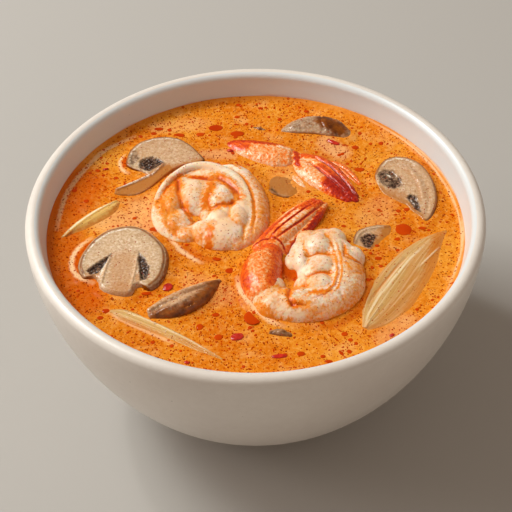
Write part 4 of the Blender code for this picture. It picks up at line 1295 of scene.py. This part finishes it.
oilDrops = dict(
    placed=[  # x, y, length, width
        (58.5, -1, 6.5, 6.6), (-1.5, -48, 7, 7.6), (-16, 63, 6, 4), (-7, 59, 6, 3.5),
        (-31.5, 58.5, 5, 3),
        (-22.5, 59, 3.5, 2.5), (-40, 63, 4, 2), (-42, 60, 2.5, 2), (66, -0.5, 3.5, 1.8),
        (42, 49, 3, 2.4),
        (43, 35, 4, 2.5), (32.5, -57, 2.5, 2.3), (34.5, -60, 2, 1.8), (16, -66.5, 3, 2.4),
        (24, -68, 2, 1.8),
        (26, -70.5, 3, 1.5), (8, -67.5, 5.5, 2), (-14.5, -57.5, 3.2, 3), (-21.5, -52, 2.7, 3.2),
        (-15.5, -46, 3, 2), (-57, -43, 3, 2.4), (-59, -46.5, 2.5, 2), (-10, -22.5, 4, 3),
        (-15, -16, 3, 2),
        (47.5, -17, 3, 2), (44.5, -14.5, 1.8, 1.6), (47.5, -10, 2, 1.6), (-7, 70, 2.5, 1.8),
        (3, 75.5, 2.2, 1.6), (22.5, 73, 2.3, 1.8), (-68, 18.7, 2.2, 2), (-40, 0.5, 4, 2.6),
        (-42, -34.5, 4, 1.8), (60.5, 10, 2.4, 2)],
    placedTall=0.34, lift=0.02,
    count=260, reach=80, smallest=0.9, spread=1.4, power=3, tall=0.24, narrow=(0.75, 1), margin=0.6)
skinBits = dict(
    placed=[  # x, y, length, width, turn in degrees
        (-7.5, -57.5, 5.2, 3.8, 20), (33, 52.5, 6, 2.2, -32), (-34, -31, 4.6, 3.6, 50),
        (8, -67.6, 6, 2, 4),
        (-10, 48, 3, 1.4, -20), (-61, 38, 2.4, 1.2, 10), (50, -58, 2.2, 1.4, 35),
        (-26, -70, 2.4, 1.4, -15)],
    tall=0.9, lift=0.1, roughness=(1.4, 0.5))
chilliSpecks = dict(
    count=8000, reach=81, smallest=0.36, spread=0.6, power=2, tall=0.2, narrow=(0.5, 1), margin=0.2,
    onGarnish=0.24, shrink=0.75, garnishNarrow=(0.4, 0.75), garnishTall=0.12)
coverDepth = 0.3  # garnish this far under the soup still keeps drops away


def randomPlace(v):
    # x, y, size and turn of a drop or speck, spread evenly over the soup
    angle, reach = dice.uniform(0, math.tau), v["reach"] * math.sqrt(dice.random())
    size = v["smallest"] + v["spread"] * dice.random() ** v["power"]
    return reach * math.cos(angle), reach * math.sin(angle), size, angle


def clearOfGarnish(x, y, covers, margin):
    # true where no garnish lies over this place
    for tree in covers:
        for dx, dy in ((0, 0), (margin, 0), (-margin, 0), (0, margin), (0, -margin)):
            hit = firstBelow(tree, x + dx, y + dy)
            if hit is not None and hit.z > soupLevel - coverDepth * mm:
                return False
    return True


def scatter(name, seedShape, placesAndSizes):
    # one joined mesh of many copies of a small shape: x, y, height, length, width, tall, turn
    shape = np.array([v.co for v in seedShape.data.vertices])
    faces = [tuple(p.vertices) for p in seedShape.data.polygons]
    points, polygons = [], []
    for x, y, height, length, width, tall, turn in placesAndSizes:
        c, s = math.cos(turn), math.sin(turn)
        a, b, up = (shape * [length / 2 * mm, width / 2 * mm, tall / 2 * mm]).T
        start = len(points) * len(shape)
        points.append(np.stack([a * c - b * s, a * s + b * c, up], 1)
                      + np.array(spot(x, y, height)))
        polygons += [tuple(start + i for i in face) for face in faces]
    mesh = bpy.data.meshes.new(name)
    mesh.from_pydata(np.concatenate(points).tolist(), [], polygons)
    piece = bpy.data.objects.new(name, mesh)
    bpy.context.collection.objects.link(piece)
    bpy.data.objects.remove(seedShape)
    return piece


def seedBall(rings, segments):
    clearSelection()
    bpy.ops.mesh.primitive_uv_sphere_add(segments=segments, ring_count=rings, radius=1)
    return bpy.context.object


def makeToppings(garnish, soup):
    graph = bpy.context.evaluated_depsgraph_get()
    covers = [BVHTree.FromObject(piece, graph) for piece in garnish]
    surface = BVHTree.FromObject(soup, graph)
    o, b, c = oilDrops, skinBits, chilliSpecks

    def level(x, y):
        return (firstBelow(surface, x, y).z - soupLevel) / mm

    def top(x, y):
        hits = [firstBelow(tree, x, y) for tree in covers]
        return max([level(x, y)] + [(hit.z - soupLevel) / mm for hit in hits if hit is not None])

    beads = [(x, y, level(x, y) + o["lift"], length, width, o["placedTall"], 0)
             for x, y, length, width in o["placed"]]
    while len(beads) < o["count"]:
        x, y, size, turn = randomPlace(o)
        if clearOfGarnish(x, y, covers, o["margin"]):
            width = size * dice.uniform(*o["narrow"])
            beads.append((x, y, level(x, y), size, width, o["tall"], turn))
    drops = scatter("chilliOilDrops", seedBall(rings=8, segments=18), beads)
    finishPiece(drops, oilMaterial(), "creamy_broth")
    bits = [(x, y, level(x, y) + b["lift"], length, width, b["tall"], math.radians(turn))
            for x, y, length, width, turn in b["placed"]]
    skins = scatter("chilliSkinBits", seedBall(rings=12, segments=18), bits)
    roughen(skins, *b["roughness"])
    finishPiece(skins, chilliSkinMaterial(), "creamy_broth")
    flecks = []
    while len(flecks) < c["count"]:
        x, y, size, turn = randomPlace(c)
        if clearOfGarnish(x, y, covers, c["margin"]):
            width = size * dice.uniform(*c["narrow"])
            flecks.append((x, y, level(x, y), size, width, c["tall"], turn))
        elif dice.random() < c["onGarnish"]:
            width = size * dice.uniform(*c["garnishNarrow"])
            flecks.append((x, y, top(x, y), size * c["shrink"], width, c["garnishTall"], turn))
    specks = scatter("groundChilliSpecks", seedBall(rings=3, segments=6), flecks)
    finishPiece(specks, chilliMaterial(), "creamy_broth")


room = dict(
    floorSize=6, floorHeight=-0.0005, paper="B4AFA9", air=(1.0, 0.83, 0.68, 1), airStrength=0.31,
    lamps=[  # name, place and size in metres, power in watts and tone
        ("window", (-0.93, 0.46, 1.22), 0.7, 20, (0.95, 1.0, 0.99)),
        ("low window", (-1.35, 0.1, 0.75), 0.7, 5.5, (1.0, 0.96, 0.94)),
        ("bare lamp", (-0.7, 0.62, 1.28), 0.08, 2.2, (1.0, 1.0, 1.0)),
        ("far wall", (0.9, -0.7, 0.9), 0.9, 1.3, (1.0, 0.95, 0.9))])


def makeRoom():
    clearSelection()
    bpy.ops.mesh.primitive_plane_add(
        size=room["floorSize"], location=(0, 0, room["floorHeight"]))
    floor = bpy.context.object
    floor.name = "floor"
    floor.data.materials.append(newMaterial("matt white paper", {
        "Base Color": srgb(room["paper"]), "Roughness": 0.9})[0])
    world = bpy.data.worlds.new("soft room")
    bpy.context.scene.world = world
    world.use_nodes = True
    world.node_tree.nodes["Background"].inputs[0].default_value = room["air"]
    world.node_tree.nodes["Background"].inputs[1].default_value = room["airStrength"]
    for name, place, size, power, tone in room["lamps"]:
        lamp = bpy.data.lights.new(name, "AREA")
        lamp.size = size
        lamp.energy = power
        lamp.color = tone
        holder = bpy.data.objects.new(name, lamp)
        bpy.context.collection.objects.link(holder)
        holder.location = place
        aim = Vector((0, 0, soupLevel)) - Vector(place)
        holder.rotation_euler = aim.to_track_quat("-Z", "Y").to_euler()


view = dict(elevation=44.3, distance=0.70, aim=0.0643, lens=122.7, tilt=-0.97, nearest=0.01)


def makeCamera():
    camera = bpy.data.cameras.new("camera")
    camera.lens = view["lens"]
    camera.clip_start = view["nearest"]
    holder = bpy.data.objects.new("camera", camera)
    bpy.context.collection.objects.link(holder)
    rise, tilt = math.radians(view["elevation"]), math.radians(view["tilt"])
    holder.location = (0, -view["distance"] * math.cos(rise),
                       view["aim"] + view["distance"] * math.sin(rise))
    turn = Matrix.Rotation(math.pi / 2 - rise, 4, "X") @ Matrix.Rotation(tilt, 4, "Z")
    holder.rotation_euler = turn.to_euler()
    bpy.context.scene.camera = holder


# view, room and bowl come first, then the garnish, then the soup round it and what floats on it
makeCamera()
makeRoom()
bpy.context.scene.view_settings.view_transform = "Standard"

makeBowl()
meat, shell = fleshMaterial(), shellMaterial()
groups = dict(  # garnish by how high the soup climbs round it
    shrimps=[
        makeShrimpMeat("shrimpLeftMeat", leftShrimp, "shrimp_left", meat),
        makeShrimpMeat("shrimpFrontMeat", frontShrimp, "shrimp_front", meat),
        makeShell("shrimpFrontShell", frontShell, shell),
        makeShell("shrimpFrontFan", frontFan, shell),
    ],
    slices=[],
    low=[
        makeShell("shrimpBackShell", backShell, shell, "shrimp_back"),
        makeShell("shrimpBackFan", backFan, shell),
    ],
    thin=[
        makeShell("shrimpBackBlade", backBlade, shell),
        makeShell("shrimpBackLeg", backLeg, shell),
    ])
mushroom = mushroomMaterial()
for node, values in mushroomShapes.items():
    kind = "thin" if values["height"] < 1 else "slices"  # the sunken ones barely stand out
    groups[kind].append(makeSlice(node, values, mushroom))
groups["slices"] += [makeWedge(node, values, mushroom) for node, values in mushroomWedges.items()]
groups["thin"] += [makeCrumb(node, knots, mushroom) for node, knots in crumbs.items()]
straw = lemongrassMaterial()
groups["thin"] += [makeStrip(node, values, straw) for node, values in lemongrassStrips.items()]
soup = makeSoup(groups)
makeToppings([piece for pieces in groups.values() for piece in pieces], soup)
